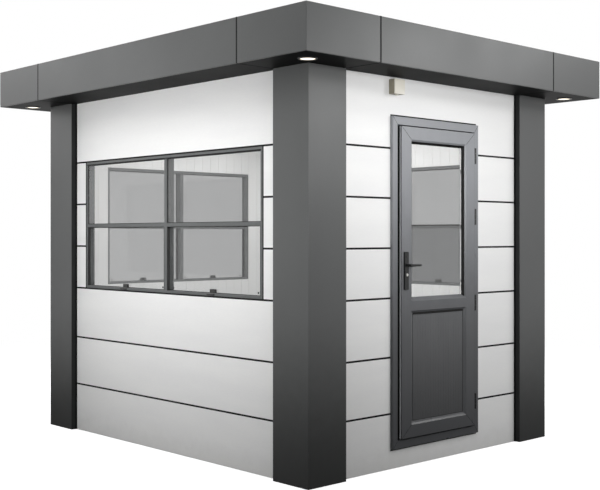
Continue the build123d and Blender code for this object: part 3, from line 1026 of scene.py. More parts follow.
@dataclass(frozen=True)
class Linings:
    """The room's lining boards, skirting, corner beads and ceiling boards."""

    board_width: float = 80 * MM
    board_gap: float = 1.2 * MM
    board_thickness: float = 3 * MM
    board_edge: float = 1.5 * MM
    least_board: float = 20 * MM
    join_share: float = 1 / 3
    ceiling_board_width: float = 200 * MM
    skirting_height: float = 60 * MM
    skirting_thickness: float = 9 * MM
    skirting_edge: float = 2.5 * MM
    bead_side: float = 12 * MM
    bead_edge: float = 4 * MM

    def spans(
        self, start: float, end: float, width: float, breaks: Sequence[float],
    ) -> list[tuple[float, float]]:
        """Divide a wall or a ceiling into boards, with no sliver left beside an opening.

        Args:
            start: Where it starts.
            end: Where it ends.
            width: About how wide a board is.
            breaks: Edges of an opening, where a board ends too.

        Returns:
            The start and end of each board.
        """
        count = round((end - start) / width)
        pitch = (end - start) / count
        lines = [start + number * pitch for number in range(count + 1)]
        clear = [
            line for line in lines if all(abs(line - place) > pitch * self.join_share for place in breaks)
        ]
        lines = sorted([*clear, *breaks])
        return list(zip(lines, lines[1:]))

    def wall(self, side: Side) -> None:
        """Face one wall with grooved boards round its opening, a skirting and a corner bead.

        Args:
            side: The wall.
        """
        lining = side.node("lining")
        dress(lining, LINING)
        low, high = side.local(lining)
        hole_low, hole_high = side.local(side.opening())
        face, front = high.y, high.y + self.board_thickness
        left, right = low.x + self.board_thickness, high.x - self.board_thickness
        boards, trims = Shape(), Shape()
        for start, end in self.spans(left, right, self.board_width, (hole_low.x, hole_high.x)):
            heights = [(low.z, high.z)]
            if hole_low.x - NEAR_GAP < start and end < hole_high.x + NEAR_GAP:
                heights = [(low.z, hole_low.z), (hole_high.z, high.z)]
            for bottom, top in heights:
                if top - bottom > self.least_board:
                    boards.block(
                        (start + self.board_gap / 2, face, bottom), (end - self.board_gap / 2, front, top),
                        self.board_edge,
                    )
        boards.piece(lining + "_boards", LINING, "lining_board", turns=[side.axes()])
        runs = [(left, right)]
        if hole_low.z < low.z + self.skirting_height:
            runs = [(left, hole_low.x), (hole_high.x, right)]
        for start, end in runs:
            trims.block(
                (start, front, low.z), (end, front + self.skirting_thickness, low.z + self.skirting_height),
                self.skirting_edge,
            )
        trims.block(
            (left, front, low.z + self.skirting_height),
            (left + self.bead_side, front + self.bead_side, high.z), self.bead_edge,
        )
        trims.piece(lining + "_trims", LINING, "lining_board", turns=[side.axes()])

    def overhead(self) -> None:
        """Board the ceiling along the room."""
        dress("ceiling", LINING)
        low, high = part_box("ceiling")
        boards = Shape()
        for start, end in self.spans(low.x, high.x, self.ceiling_board_width, ()):
            boards.block(
                (start + self.board_gap, low.y, low.z - self.board_thickness),
                (end - self.board_gap, high.y, low.z), self.board_edge,
            )
        boards.piece("ceiling_boards", LINING, "lining_board")

    def build(self) -> None:
        """Dress the linings and face them with boards."""
        for side in Side:
            self.wall(side)
        self.overhead()


@dataclass(frozen=True)
class Windows:
    """The three sliding windows: frames, panes, gaskets and small fittings."""

    frame_edge: float = 1.2 * MM
    pane_edge: float = 0.5 * MM
    gasket_face: float = 3.5 * MM
    gasket_depth: float = 3 * MM
    gasket_edge: float = 0.8 * MM
    head_line_inset: float = 10 * MM
    head_line_high: float = 20 * MM
    head_line_low: float = 14.5 * MM
    head_line_proud: float = 0.2 * MM
    transom_seal_face: float = 9 * MM
    button_radius: float = 6 * MM
    button_depth: float = 3 * MM
    button_edge: float = 0.8 * MM
    button_sides: int = 24
    button_inset: float = 42 * MM
    button_rise: float = 17 * MM
    foot_drop: float = 10 * MM
    head_lift: float = 5 * MM
    level_margin: float = 1 * MM

    def slimmed(self, node: str) -> Shape:
        """Copy a node of the windows with its share of the head and foot rails made slimmer.

        The three windows stand at the same height, so the left one's panes give the levels.

        Args:
            node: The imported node.

        Returns:
            The copy, whose foot and the latches on it are lower and whose head is higher.
        """
        glass_low, glass_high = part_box("left_window_glass")
        latch_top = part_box("window_latches")[1].z
        shape = Shape().packed(node)
        shape.slide(glass_low.z - self.level_margin, latch_top + self.level_margin, -self.foot_drop)
        return shape.slide(glass_high.z - self.level_margin, glass_high.z + self.level_margin, self.head_lift)

    def window(self, side: Side, upper: Finish, lower: Finish) -> None:
        """Dress one window.

        Args:
            side: The wall that it stands in.
            upper: The glass of the fixed upper panes.
            lower: The glass of the sliding lower panes.
        """
        axes = [side.axes()]
        frame_node, glass_node = side.opening(), side.node("window_glass")
        profiles = self.slimmed(frame_node)
        profiles.roll(profiles.mesh.verts, self.frame_edge)
        profiles.piece(frame_node + "_profiles", WINDOW_PROFILE, "window_profile", replaces=[frame_node])
        panes = solids(glass_node, side.axes().inverted())
        gaskets, buttons = Shape(), Shape()
        for number, (low, high) in enumerate(panes):
            slides = number < len(panes) / 2
            row, glass = ("lower", lower) if slides else ("upper", upper)
            if slides:
                low.z -= self.foot_drop
            else:
                high.z += self.head_lift
            Shape().block(low, high, self.pane_edge).piece(
                side.node(f"window_{row}_pane_{number % 2 + 1}"), glass, "window_pane", turns=axes,
                replaces=[glass_node],
            )
            front = low.y - self.gasket_depth
            gaskets.hoop((low.x, front, low.z), (high.x, low.y, high.z), self.gasket_face, self.gasket_edge)
            if slides:
                for x in (low.x + self.button_inset, high.x - self.button_inset):
                    buttons.disc(
                        (x, low.y, low.z + self.button_rise), (0, -1, 0), self.button_radius,
                        self.button_depth, self.button_edge, self.button_sides,
                    )
        transom = min(solids(frame_node, side.axes().inverted()), key=lambda box: box[1].z - box[0].z)
        gaskets.block(
            (transom[0].x, transom[1].y, transom[1].z - self.transom_seal_face),
            (transom[1].x, transom[1].y + self.gasket_depth, transom[1].z), self.gasket_edge,
        )
        low, high = side.local(frame_node)
        gaskets.block(
            (low.x + self.head_line_inset, low.y - self.head_line_proud, high.z - self.head_line_high),
            (high.x - self.head_line_inset, low.y + self.gasket_depth, high.z - self.head_line_low),
        )
        gaskets.piece(side.node("window_gaskets"), RUBBER, "black_fitting", turns=axes)
        buttons.piece(side.node("window_buttons"), NYLON, "black_fitting", turns=axes)

    def build(self) -> None:
        """Dress the three windows and their shared fittings."""
        self.window(Side.LEFT, NEAR_GLASS, NEAR_GLASS)
        self.window(Side.RIGHT, GREY_GLASS, DARK_GLASS)
        self.window(Side.BACK, GREY_GLASS, GREY_GLASS)
        for node in ("window_channels", "window_latches"):
            self.slimmed(node).piece(node + "_mouldings", NYLON, "black_fitting", replaces=[node])


@dataclass(frozen=True)
class DoorSet:
    """The door's frame, leaf, glazing, seals and furniture."""

    frame_edge: float = 0.7 * MM
    lip_face: float = 12 * MM
    lip_depth: float = 13 * MM
    gasket_cover: float = 2 * MM
    gasket_proud: float = 0.7 * MM
    gasket_thickness: float = 1.2 * MM
    gasket_sunk: float = 30 * MM
    panel_gasket_face: float = 3 * MM
    panel_head_shade_face: float = 11.5 * MM
    panel_head_shade_proud: float = 3.4 * MM
    panel_gasket_edge: float = 0.4 * MM
    stave_depth: float = 3 * MM
    stave_edge: float = 1.9 * MM
    jamb_seal_face: float = 20 * MM
    rail_seal_face: float = 13 * MM
    seal_gap: float = 0.8 * MM
    seal_edge: float = 1.5 * MM
    jamb_gap: float = 17 * MM
    rail_gap: float = 8 * MM
    seam_width: float = 3.2 * MM
    seam_inset: float = 1.4 * MM
    seam_proud: float = 0.25 * MM
    seam_face: float = 0.75 * MM
    leaf_gap_shade_proud: float = 0.8 * MM
    leaf_gap_shade_face: float = 1.2 * MM
    leaf_side_margin: float = 2 * MM
    lit_strip_inset: float = 5 * MM
    lit_strip_proud: float = 0.3 * MM
    lit_strip_face: float = 1 * MM
    weld_width: float = 1.8 * MM
    weld_depth: float = 0.4 * MM
    # The part of each mitre that its weld line covers, and the mitres' widths across and up.
    weld_share: tuple[float, float] = (0.05, 1.0)
    frame_face: tuple[float, float] = (40 * MM, 47 * MM)
    leaf_face: tuple[float, float] = (86 * MM, 75 * MM)
    # Each turned profile is in pairs of shares of the radius and of the height.
    cap_height: float = 2.6 * MM
    cap_profile: Profile = ((0.0, 1.0), (0.5, 0.85), (0.9, 0.35), (1.0, 0.0), (0.0, 0.0))
    screw_radius: float = 3.4 * MM
    screw_height: float = 1 * MM
    screw_inset: float = 12 * MM
    screw_profile: Profile = ((0.0, 0.3), (0.5, 0.35), (0.85, 0.9), (1.0, 0.0), (0.0, 0.0))
    ring_radius: float = 11.4 * MM
    ring_proud: float = 1.4 * MM
    ring_gap: float = 0.2 * MM
    ring_flat: float = 0.6
    ring_rim: float = 0.3
    keyway: tuple[float, float] = (1.5 * MM, 7 * MM)
    keyway_depth: float = 1 * MM
    keyway_proud: float = 0.1 * MM
    groove_digits: int = 4

    def build(self) -> None:
        """Dress the door set."""
        for node, body in (("door_frame", Body.CABIN), ("door_leaf", Body.DOOR)):
            stand_in(node, "_profiles", self.frame_edge, DOOR_FOIL, "door_profile", body)
        self.panel()
        self.gaskets()
        self.seal()
        self.leaf_edges()
        self.welds()
        self.hinge_caps()
        self.furniture()
        for node in ("handle_plates", "door_lever", "hinges_fixed", "hinges_moving"):
            dress(node, BLACK_METAL)
        dress("lock_cylinder", STEEL)
        dress("door_glass", NEAR_GLASS)

    def panel(self) -> None:
        """Lay the lower panel's staves over a backing, with a shallow groove between each two."""
        low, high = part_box("door_panel")
        floors = sorted({
            round(vert.co.x, self.groove_digits) for vert in frame["nodes"]["door_panel"].data.vertices
            if low.y + NEAR_GAP < vert.co.y < (low.y + high.y) / 2
        })
        grooves = [(start + end) / 2 for start, end in zip(floors[::2], floors[1::2])]
        shape = Shape().block((low.x, low.y + self.stave_depth, low.z), high)
        for start, end in zip([low.x, *grooves], [*grooves, high.x]):
            shape.block((start, low.y, low.z), (end, low.y + self.stave_depth, high.z), self.stave_edge)
        shape.piece("door_panel_staves", DOOR_INFILL, "door_infill", Body.DOOR, replaces=["door_panel"])

    def gaskets(self) -> None:
        """Lay the glazing gasket over the lip round the pane, and a thin one round the panel.

        The pane's gasket runs down into the middle rail, and the panel's has a deeper black strip at its
        head, which is painted shade under the rail.
        """
        low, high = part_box("door_glass")
        front = low.y - self.lip_depth - self.gasket_proud
        Shape().hoop(
            (low.x - self.lip_face, front, low.z - self.lip_face - self.gasket_sunk),
            (high.x + self.lip_face, front + self.gasket_thickness, high.z + self.lip_face),
            self.lip_face + self.gasket_cover, lean=self.lip_depth,
        ).piece("door_glass_gasket", RUBBER, "black_fitting", Body.DOOR)
        # The strip along the panel's head is black painted shade under the middle rail.
        low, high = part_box("door_panel")
        half = self.panel_gasket_face / 2
        front = low.y - self.gasket_thickness
        Shape().hoop(
            (low.x - half, front, low.z - half), (high.x + half, low.y, high.z + half),
            self.panel_gasket_face, self.panel_gasket_edge,
        ).block(
            (low.x, low.y - self.panel_head_shade_proud, high.z - half),
            (high.x, low.y, high.z + self.panel_head_shade_face), self.panel_gasket_edge,
        ).piece("door_panel_gasket_and_head_shade", RUBBER, "black_fitting", Body.DOOR)

    def seal(self) -> None:
        """Lay the frame's seal on its stop, behind the leaf, and the leaf's seam on its edge."""
        low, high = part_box("door_leaf")
        front, back = high.y + self.seal_gap, self.stop_front()
        left, right = low.x - self.jamb_gap, high.x + self.jamb_gap
        foot, head = low.z - self.rail_gap, high.z + self.rail_gap
        strips = Shape()
        for start, end in ((left, left + self.jamb_seal_face), (right - self.jamb_seal_face, right)):
            strips.block((start, front, foot), (end, back, head), self.seal_edge)
        for bottom, top in ((foot, foot + self.rail_seal_face), (head - self.rail_seal_face, head)):
            strips.block(
                (left + self.jamb_seal_face, front, bottom), (right - self.jamb_seal_face, back, top),
                self.seal_edge,
            )
        strips.piece("door_frame_seal", RUBBER, "black_fitting")
        proud = self.seam_proud
        Shape().hoop(
            (low.x - proud, low.y + self.seam_inset, low.z - proud),
            (high.x + proud, low.y + self.seam_inset + self.seam_width, high.z + proud), self.seam_face,
        ).piece("door_leaf_seam", RUBBER, "black_fitting", Body.DOOR)

    def leaf_edges(self) -> None:
        """Lay black on the leaf's sides inside the frame, and pale strips on them in front of it.

        The black is painted shade in the gap, and the pale strips are painted light.
        """
        low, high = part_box("door_leaf")
        frame_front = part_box("door_frame")[0].y
        proud, margin = self.leaf_gap_shade_proud, self.leaf_side_margin
        # Black over the sides behind the frame's face, as painted shade in the gap.
        Shape().hoop(
            (low.x - proud, frame_front, low.z - proud), (high.x + proud, high.y - margin, high.z + proud),
            self.leaf_gap_shade_face,
        ).piece("door_leaf_gap_shade", RUBBER, "black_fitting", Body.DOOR)
        # Pale strips on the sides in front of the frame's face, as painted light.
        lit_strips = Shape()
        for edge, way in ((low.x, -1), (high.x, 1)):
            ends = sorted((edge + way * self.lit_strip_proud, edge - way * self.lit_strip_face))
            lit_strips.block(
                (ends[0], low.y + self.lit_strip_inset, low.z + margin),
                (ends[1], frame_front, high.z - margin),
            )
        lit_strips.piece("door_leaf_side_light_strips", LEAF_SIDE_LIGHT, "door_profile", Body.DOOR)

    def welds(self) -> None:
        """Draw the welded mitres as fine dark grooves at the corners of the frame and the leaf."""
        for node, (across, upright), body in (
            ("door_frame", self.frame_face, Body.CABIN), ("door_leaf", self.leaf_face, Body.DOOR),
        ):
            low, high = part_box(node)
            lines = Shape()
            for x, way_x in ((low.x, 1), (high.x, -1)):
                for z, way_z in ((low.z, 1), (high.z, -1)):
                    start, end = (
                        (x + way_x * share * across, low.y, z + way_z * share * upright)
                        for share in self.weld_share
                    )
                    lines.stroke(start, end, self.weld_width, self.weld_depth)
            lines.piece(node + "_welds", RUBBER, "black_fitting", body)

    def stop_front(self) -> float:
        """Find the front of the frame's stop, which is its first face behind the leaf.

        Returns:
            Its place along Y.
        """
        leaf_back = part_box("door_leaf")[1].y
        return min(vert.co.y for vert in frame["nodes"]["door_frame"].data.vertices if vert.co.y > leaf_back)

    def hinge_caps(self) -> None:
        """Close the ends of each hinge's barrel with a domed cap."""
        axis = Vector(frame["record"]["behaviour"]["joints"][0]["pos_m"])
        barrels = solids("hinges_fixed")
        radius = axis.y - min(low.y for low, _ in barrels)
        caps = Shape()
        for number, (low, high) in enumerate(barrels):
            end, way = (high.z, 1) if number % 2 else (low.z, -1)
            caps.lathe(
                self.cap_profile, (axis.x, axis.y, end), (0, 0, way), CAP_STEPS, radius, self.cap_height
            )
        caps.piece("hinge_caps", NYLON, "black_fitting")

    def furniture(self) -> None:
        """Add the plates' screws and the ring and keyway of the cylinder."""
        cylinder_low, cylinder_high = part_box("lock_cylinder")
        middle = (cylinder_low + cylinder_high) / 2
        screws, rings, keyways = Shape(), Shape(), Shape()
        hole = (cylinder_high.x - cylinder_low.x) / 2 + self.ring_gap
        flat = self.ring_flat * self.ring_radius + (1 - self.ring_flat) * hole
        ring = (
            (hole, 0.0), (hole, self.ring_proud), (flat, self.ring_proud),
            (self.ring_radius, self.ring_rim * self.ring_proud), (self.ring_radius, 0.0), (hole, 0.0),
        )
        half_width, half_height = self.keyway[0] / 2, self.keyway[1] / 2
        plates = sorted(solids("handle_plates"), key=lambda box: box[0].y)
        for (low, high), way in zip(plates, (-1, 1)):
            plate_face = low.y if way < 0 else high.y
            cylinder_face = cylinder_low.y if way < 0 else cylinder_high.y
            for z in (low.z + self.screw_inset, high.z - self.screw_inset):
                screws.lathe(
                    self.screw_profile, (middle.x, plate_face, z), (0, way, 0), SCREW_STEPS,
                    self.screw_radius, self.screw_height,
                )
            rings.lathe(ring, (middle.x, plate_face, middle.z), (0, way, 0), RING_STEPS)
            depths = sorted(
                (cylinder_face - way * self.keyway_depth, cylinder_face + way * self.keyway_proud)
            )
            keyways.block(
                (middle.x - half_width, depths[0], middle.z - half_height),
                (middle.x + half_width, depths[1], middle.z + half_height),
            )
        screws.piece("handle_screws", BLACK_METAL, "black_metal", Body.DOOR)
        rings.piece("cylinder_rings", BLACK_METAL, "black_metal", Body.DOOR)
        keyways.piece("cylinder_keyways", NYLON, "black_fitting", Body.DOOR)


@dataclass(frozen=True)
class Roof:
    """Fascia, soffit, coping, joint backers and roofing."""

    sheet_edge: float = 3.0 * MM
    turn_up_edge: float = 2.2 * MM
    backer_reach: float = 20 * MM
    backer_thickness: float = 3 * MM
    backer_margin: float = 1 * MM
    sheet_slimness: float = 10.0
    joint: float = 6 * MM
    joint_cover: float = 2.7 * MM
    joint_setback: float = 0.1 * MM
    joint_seal: float = 3 * MM
    seam_pitch: float = 1000 * MM
    seam_width: float = 60 * MM
    seam_thickness: float = 2 * MM
    outlet_radius: float = 62 * MM
    outlet_inset: float = 260 * MM
    # The flange's rim stands three times as high as its middle.
    flange_height: float = 1 * MM
    flange_profile: Profile = ((0.0, 1.0), (0.6, 1.0), (0.9, 3.0), (1.0, 0.0), (0.0, 0.0))
    grate_radius: float = 44 * MM
    grate_fall: float = 1.05
    grate_height: float = 22 * MM
    grate_ribs: int = 12
    rib_width: float = 4 * MM

    def build(self) -> None:
        """Dress the roof's edge and its covering."""
        for node, finish, slot in (
            ("fascia_panels", GRAPHITE, "graphite_sheet"),
            ("soffit_panels", SOFFIT_PAINTED_SHADE, "soffit_sheet"),
            ("coping", GRAPHITE, "graphite_sheet"),
        ):
            stand_in(node, "_sheets", self.sheet_edge, finish, slot)
        dress("roof_deck", ROOF_SHEET)
        self.backers()
        self.membrane()
        self.outlet()

    def backers(self) -> None:
        """Put a dark strip behind each joint of the fascia, and a seal in it, flush with the sheets."""
        low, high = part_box("fascia_panels")
        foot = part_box("soffit_panels")[1].z + self.backer_margin
        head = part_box("coping")[0].z - self.backer_margin
        strips = Shape()
        for side in Side:
            axes = side.axes()
            inverse = axes.inverted()
            outer = min((inverse @ low).y, (inverse @ high).y)
            for start, end in solids("fascia_panels", inverse):
                along, across = end.x - start.x, end.y - start.y
                if along <= across * self.sheet_slimness or abs(start.y - outer) >= across:
                    continue
                front = start.y + self.joint_setback
                for x, way in ((start.x, -1), (end.x, 1)):
                    left, right = sorted(
                        (x - way * self.joint_cover, x + way * (self.joint + self.joint_cover))
                    )
                    for near, far in (
                        ((x - self.backer_reach, end.y, foot),
                         (x + self.backer_reach, end.y + self.backer_thickness, head)),
                        ((left, front, start.z), (right, front + self.joint_seal, end.z)),
                    ):
                        corners = [axes @ Vector(near), axes @ Vector(far)]
                        strips.block(Vector(map(min, *corners)), Vector(map(max, *corners)))
        strips.piece("fascia_joint_backers", MEMBRANE, "black_membrane")

    def membrane(self) -> None:
        """Lap the roofing sheet and turn it up under the coping."""
        low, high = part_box("roof_deck")
        coping = frame["nodes"]["coping"].data.vertices
        inner, inner_y = (min(abs(vert.co[axis]) for vert in coping) for axis in range(2))
        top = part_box("coping")[0].z - self.backer_margin
        shape = Shape()
        for way in (-1, 1):
            xs, ys = sorted((way * inner, way * high.x)), sorted((way * inner_y, way * high.y))
            shape.block((xs[0], low.y, high.z), (xs[1], high.y, top), self.turn_up_edge)
            shape.block((-inner, ys[0], high.z), (inner, ys[1], top), self.turn_up_edge)
        count = int((high.y - low.y) / self.seam_pitch)
        for number in range(count):
            y = (number - (count - 1) / 2) * self.seam_pitch
            shape.block(
                (-inner, y - self.seam_width / 2, high.z),
                (inner, y + self.seam_width / 2, high.z + self.seam_thickness), self.seam_thickness / 2,
            )
        shape.piece("roofing_laps", ROOF_SHEET, "roof_membrane")

    def outlet(self) -> None:
        """Set the rainwater outlet and its domed leaf guard in the back right corner."""
        low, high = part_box("roof_deck")
        place = (high.x - self.outlet_inset, high.y - self.outlet_inset, high.z)
        guard = Shape().lathe(
            self.flange_profile, place, (0, 0, 1), WIDE_STEPS, self.outlet_radius, self.flange_height
        )
        half, tall = self.rib_width / 2, self.grate_height
        for number in range(self.grate_ribs // 2):
            before = set(guard.mesh.verts)
            guard.block((-self.grate_radius, -half, 0), (self.grate_radius, half, tall), half / 2)
            made = guard.added(before)
            for vert in made:
                vert.co.z *= math.sqrt(max(0.0, 1 - (vert.co.x / (self.grate_fall * self.grate_radius)) ** 2))
            turn = Matrix.Rotation(math.tau * number / self.grate_ribs, MATRIX_SIZE, "Z")
            bmesh.ops.transform(guard.mesh, matrix=Matrix.Translation(place) @ turn, verts=made)
        guard.piece("roof_outlet_guard", NYLON, "black_fitting")


@dataclass(frozen=True)
class Fittings:
    """Downlights and the junction box."""

    bezel_radius: float = 53 * MM
    lens_radius: float = 43 * MM
    lens_drop: float = 3 * MM
    lens_rim: float = 0.4 * MM
    lens_shoulder: tuple[float, float] = (0.6, 0.8)
    lid_proud: float = 3 * MM
    lid_wrap: float = 3 * MM
    lid_over: float = 0.7 * MM
    lid_edge: float = 2.2 * MM
    screw_radius: float = 3.6 * MM
    screw_inset: float = 10 * MM
    screw_proud: float = 0.8 * MM
    screw_profile: Profile = ((0.0, 0.3), (0.5, 0.4), (0.85, 1.0), (1.0, 0.0), (0.0, 0.0))
    gland_radius: float = 11 * MM
    gland_drop: float = 6 * MM
    gland_profile: Profile = ((0.0, 1.0), (0.55, 1.0), (0.7, 0.5), (1.0, 0.3), (1.0, 0.0), (0.0, 0.0))

    def build(self) -> None:
        """Dress the lamps and the box."""
        dress("downlights", LAMP_TRIM)
        self.lenses()
        self.box()

    def lenses(self) -> None:
        """Set a frosted lens in each lamp."""
        low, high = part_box("downlights")
        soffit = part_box("soffit_panels")[0].z
        radius = self.bezel_radius
        across, along = self.lens_shoulder
        profile = (
            (0.0, self.lens_drop), (self.lens_radius * across, self.lens_drop * along),
            (self.lens_radius, self.lens_rim), (self.lens_radius, 0.0), (0.0, 0.0),
        )
        places = [
            Matrix.Translation((x, y, 0))
            for x in (low.x + radius, high.x - radius) for y in (low.y + radius, high.y - radius)
        ]
        Shape().lathe(profile, (0, 0, soffit - self.lens_rim), (0, 0, -1), WIDE_STEPS).piece(
            "downlight_lenses", LENS, "lamp", turns=places
        )

    def box(self) -> None:
        """Close the junction box with its lid, four screws and a blank gland underneath."""
        # The box behind the lid takes the plastic painted darker as shade.
        dress("junction_box", SHADED_ABS)
        low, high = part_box("junction_box")
        front = low.y - self.lid_proud
        Shape().block(
            (low.x - self.lid_over, front, low.z - self.lid_over),
            (high.x + self.lid_over, low.y + self.lid_wrap, high.z + self.lid_over), self.lid_edge,
        ).piece("junction_box_lid", BEIGE_ABS, "beige_plastic")
        plugs = Shape()
        for x in (low.x + self.screw_inset, high.x - self.screw_inset):
            for z in (low.z + self.screw_inset, high.z - self.screw_inset):
                plugs.lathe(
                    self.screw_profile, (x, front, z), (0, -1, 0), SCREW_STEPS, self.screw_radius,
                    self.screw_proud,
                )
        plugs.lathe(
            self.gland_profile, ((low.x + high.x) / 2, (low.y + high.y) / 2, low.z), (0, 0, -1), RING_STEPS,
            self.gland_radius, self.gland_drop,
        )
        plugs.piece("junction_box_screws_and_gland", BEIGE_ABS, "beige_plastic")


# ---------------------------------------------------------------- studio


@dataclass(frozen=True)
class Lamp:
    """One soft studio lamp."""

    name: str
    place: tuple[float, float, float]
    aim: tuple[float, float, float]
    size: tuple[float, float]
    watts: float
    spread: float = 180.0

    def build(self) -> None:
        """Hang the lamp."""
        data = bpy.data.lights.new(self.name, "AREA")
        data.shape = "RECTANGLE"
        data.size, data.size_y = self.size
        data.energy = self.watts
        data.spread = math.radians(self.spread)
        made = bpy.data.objects.new(self.name, data)
        bpy.context.scene.collection.objects.link(made)
        made.location = self.place
        made.rotation_euler = (Vector(self.aim) - Vector(self.place)).to_track_quat("-Z", "Y").to_euler()
        made.visible_camera = False
        made.visible_transmission = False


# Where the lamps aim: the walls, and the near corner.
DOOR_WALL = (0.0, -1.35, 1.6)
WINDOW_WALL = (-1.1, 0.2, 1.6)
BACK_WALL = (0.0, 1.35, 1.5)
RIGHT_WALL = (1.1, 0.0, 1.5)
CORNER = (-1.1, -1.3, 1.8)
# Each lamp's name, place, aim, size, watts and, where it is narrowed, its spread in degrees.
LAMPS = (
    Lamp("corner_high", (-3.6, -3.9, 4.2), CORNER, (2.0, 1.4), 40.0),
    Lamp("window_high", (-4.4, 0.6, 5.2), (-1.1, 0.0, 1.2), (2.0, 1.4), 26.0),
    Lamp("window_near", (-2.8, 0.0, 3.2), (-1.1, 0.0, 1.8), (2.8, 0.6), 7.5),
    Lamp("window_key", (-4.2, 5.2, 3.5), WINDOW_WALL, (1.8, 0.8), 14.0),
    Lamp("window_low", (-3.6, -0.4, 1.7), (-1.1, 0.0, 1.7), (2.8, 0.8), 10.0, 80.0),
    Lamp("window_foot", (-4.6, -0.2, 1.2), (-1.1, 0.0, 1.1), (2.8, 0.8), 14.0, 90.0),
    Lamp("door_high", (-0.4, -3.6, 5.6), (0.0, -1.35, 1.0), (2.2, 1.2), 22.0),
    Lamp("door_left", (-1.5, -4.8, 3.6), DOOR_WALL, (1.8, 0.8), 12.5),
    Lamp("door_right", (3.9, -5.05, 3.5), DOOR_WALL, (1.8, 0.8), 53.0),
    Lamp("post_key", (2.2, -5.05, 2.45), DOOR_WALL, (1.4, 0.4), 42.0),
    Lamp("door_low", (-1.2, -4.0, 1.8), (0.2, -1.35, 1.9), (2.0, 0.8), 12.0, 80.0),
    Lamp("bevel_key", (4.6, -3.3, 3.9), (0.0, -1.35, 1.0), (1.2, 1.0), 25.0),
    Lamp("back_key", (-1.0, 6.0, 3.2), BACK_WALL, (2.6, 1.4), 165.0),
    Lamp("right_key", (5.8, 1.2, 3.2), RIGHT_WALL, (2.6, 1.4), 150.0),
    Lamp("roof_fill", (0.4, 0.6, 6.5), (0.0, 0.0, 2.5), (2.6, 2.6), 110.0),
    Lamp("room_glow", (0.0, 0.0, 2.2), (0.0, 0.0, 0.0), (1.4, 1.8), 30.0),
)


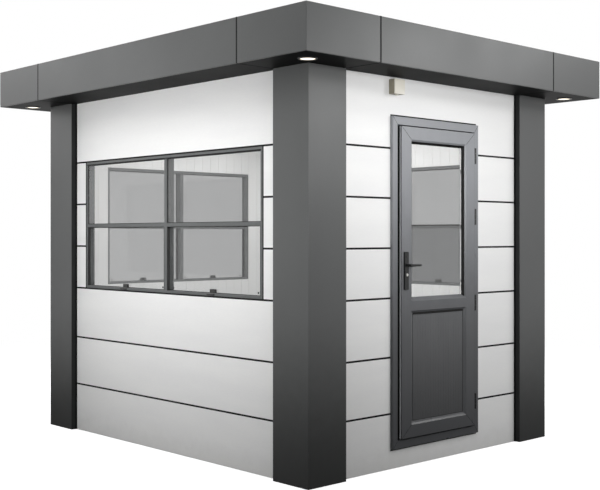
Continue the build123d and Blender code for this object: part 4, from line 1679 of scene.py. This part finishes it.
@dataclass(frozen=True)
class Studio:
    """Floor, background, lamps and camera."""

    floor_side: float = 60.0
    floor_level: float = -1 * MM
    floor_tone: str = "505050"
    floor_pale: str = "F2F2F2"
    floor_glow: float = 0.66
    floor_near: float = 2.5
    floor_far: float = 7.0
    world_strength: float = 0.05
    camera_place: tuple[float, float, float] = (-4.968, -5.458, 1.3605)
    camera_azimuth: float = -43.31
    camera_lens: float = 63.36
    camera_sensor: float = 36.0
    camera_shift: tuple[float, float] = (-0.0140, -0.0159)

    def either(self, tree: bpy.types.NodeTree, *sources: bpy.types.NodeSocket) -> bpy.types.NodeSocket:
        """Give one where any of some flags is one.

        Args:
            tree: The node tree that takes the nodes.
            sources: The flags.

        Returns:
            The joint flag.
        """
        joint = sources[0]
        for source in sources[1:]:
            joint = add_node(
                tree, "ShaderNodeMath", {"operation": "MAXIMUM"}, {"Value": joint, "Value_001": source}
            ).outputs["Value"]
        return joint

    def floor(self) -> None:
        """Lay the floor: white where it is seen, plain as light, and dark near the cabin in reflections."""
        shape = bmesh.new()
        bmesh.ops.create_grid(
            shape, x_segments=1, y_segments=1, size=self.floor_side / 2,
            matrix=Matrix.Translation((0, 0, self.floor_level)),
        )
        mesh = bpy.data.meshes.new("studio_floor")
        shape.to_mesh(mesh)
        shape.free()
        material = bpy.data.materials.new("studio_floor_paint")
        material.use_nodes = True
        tree = material.node_tree
        tree.nodes.clear()
        path = add_node(tree, "ShaderNodeLightPath").outputs
        seen = self.either(tree, path["Is Camera Ray"], path["Is Transmission Ray"])
        shown = self.either(tree, seen, path["Is Glossy Ray"])
        plain, pale = (
            add_node(tree, "ShaderNodeBsdfDiffuse", {"Color": linear(tone)}).outputs["BSDF"]
            for tone in (self.floor_tone, self.floor_pale)
        )
        glow, white = (
            add_node(tree, "ShaderNodeEmission", {"Color": WHITE, "Strength": strength}).outputs["Emission"]
            for strength in (self.floor_glow, 1.0)
        )
        lit = add_node(
            tree, "ShaderNodeAddShader", None, {"Shader": pale, "Shader_001": glow}
        ).outputs["Shader"]
        place = add_node(tree, "ShaderNodeTexCoord").outputs["Object"]
        away = add_node(
            tree, "ShaderNodeVectorMath", {"operation": "LENGTH"}, {"Vector": place}
        ).outputs["Value"]
        beyond = add_node(
            tree, "ShaderNodeMapRange",
            {"From Min": self.floor_near, "From Max": self.floor_far, "interpolation_type": "SMOOTHSTEP"},
            {"Value": away},
        ).outputs["Result"]
        near = add_node(
            tree, "ShaderNodeMixShader", None, {"Fac": seen, "Shader": plain, "Shader_001": lit}
        ).outputs["Shader"]
        open_floor = add_node(
            tree, "ShaderNodeMixShader", None, {"Fac": beyond, "Shader": near, "Shader_001": white}
        ).outputs["Shader"]
        ground = add_node(
            tree, "ShaderNodeMixShader", None, {"Fac": shown, "Shader": plain, "Shader_001": open_floor}
        ).outputs["Shader"]
        add_node(tree, "ShaderNodeOutputMaterial", None, {"Surface": ground})
        mesh.materials.append(material)
        made = bpy.data.objects.new("studio_floor", mesh)
        bpy.context.scene.collection.objects.link(made)

    def background(self) -> None:
        """Make the world: white where it is seen, plain and even as light."""
        world = bpy.data.worlds.new("studio_world")
        world.use_nodes = True
        tree = world.node_tree
        tree.nodes.clear()
        path = add_node(tree, "ShaderNodeLightPath").outputs
        shown = self.either(tree, path["Is Camera Ray"], path["Is Glossy Ray"], path["Is Transmission Ray"])
        strength = add_node(
            tree, "ShaderNodeMapRange", {"To Min": self.world_strength, "To Max": 1.0}, {"Value": shown}
        ).outputs["Result"]
        glow = add_node(tree, "ShaderNodeBackground", {"Color": WHITE}, {"Strength": strength})
        add_node(tree, "ShaderNodeOutputWorld", None, {"Surface": glow.outputs["Background"]})
        bpy.context.scene.world = world

    def camera(self) -> None:
        """Set up the camera with a level view."""
        data = bpy.data.cameras.new("camera")
        data.lens = self.camera_lens
        data.sensor_width = self.camera_sensor
        data.shift_x, data.shift_y = self.camera_shift
        made = bpy.data.objects.new("camera", data)
        bpy.context.scene.collection.objects.link(made)
        made.location = self.camera_place
        made.rotation_euler = (LEVEL_VIEW, 0, math.radians(self.camera_azimuth))
        bpy.context.scene.camera = made

    def build(self) -> None:
        """Set up the whole studio."""
        bpy.context.scene.view_settings.view_transform = "Standard"
        self.floor()
        self.background()
        self.camera()
        for lamp in LAMPS:
            lamp.build()


def main() -> None:
    """Build the studio and then each sub-assembly."""
    logging.basicConfig(level=logging.INFO, format="%(message)s")
    for part in (Studio(), Carcass(), Seals(), Linings(), Windows(), DoorSet(), Roof(), Fittings()):
        LOG.info("building %s", type(part).__name__)
        part.build()


if __name__ == "__main__":
    main()
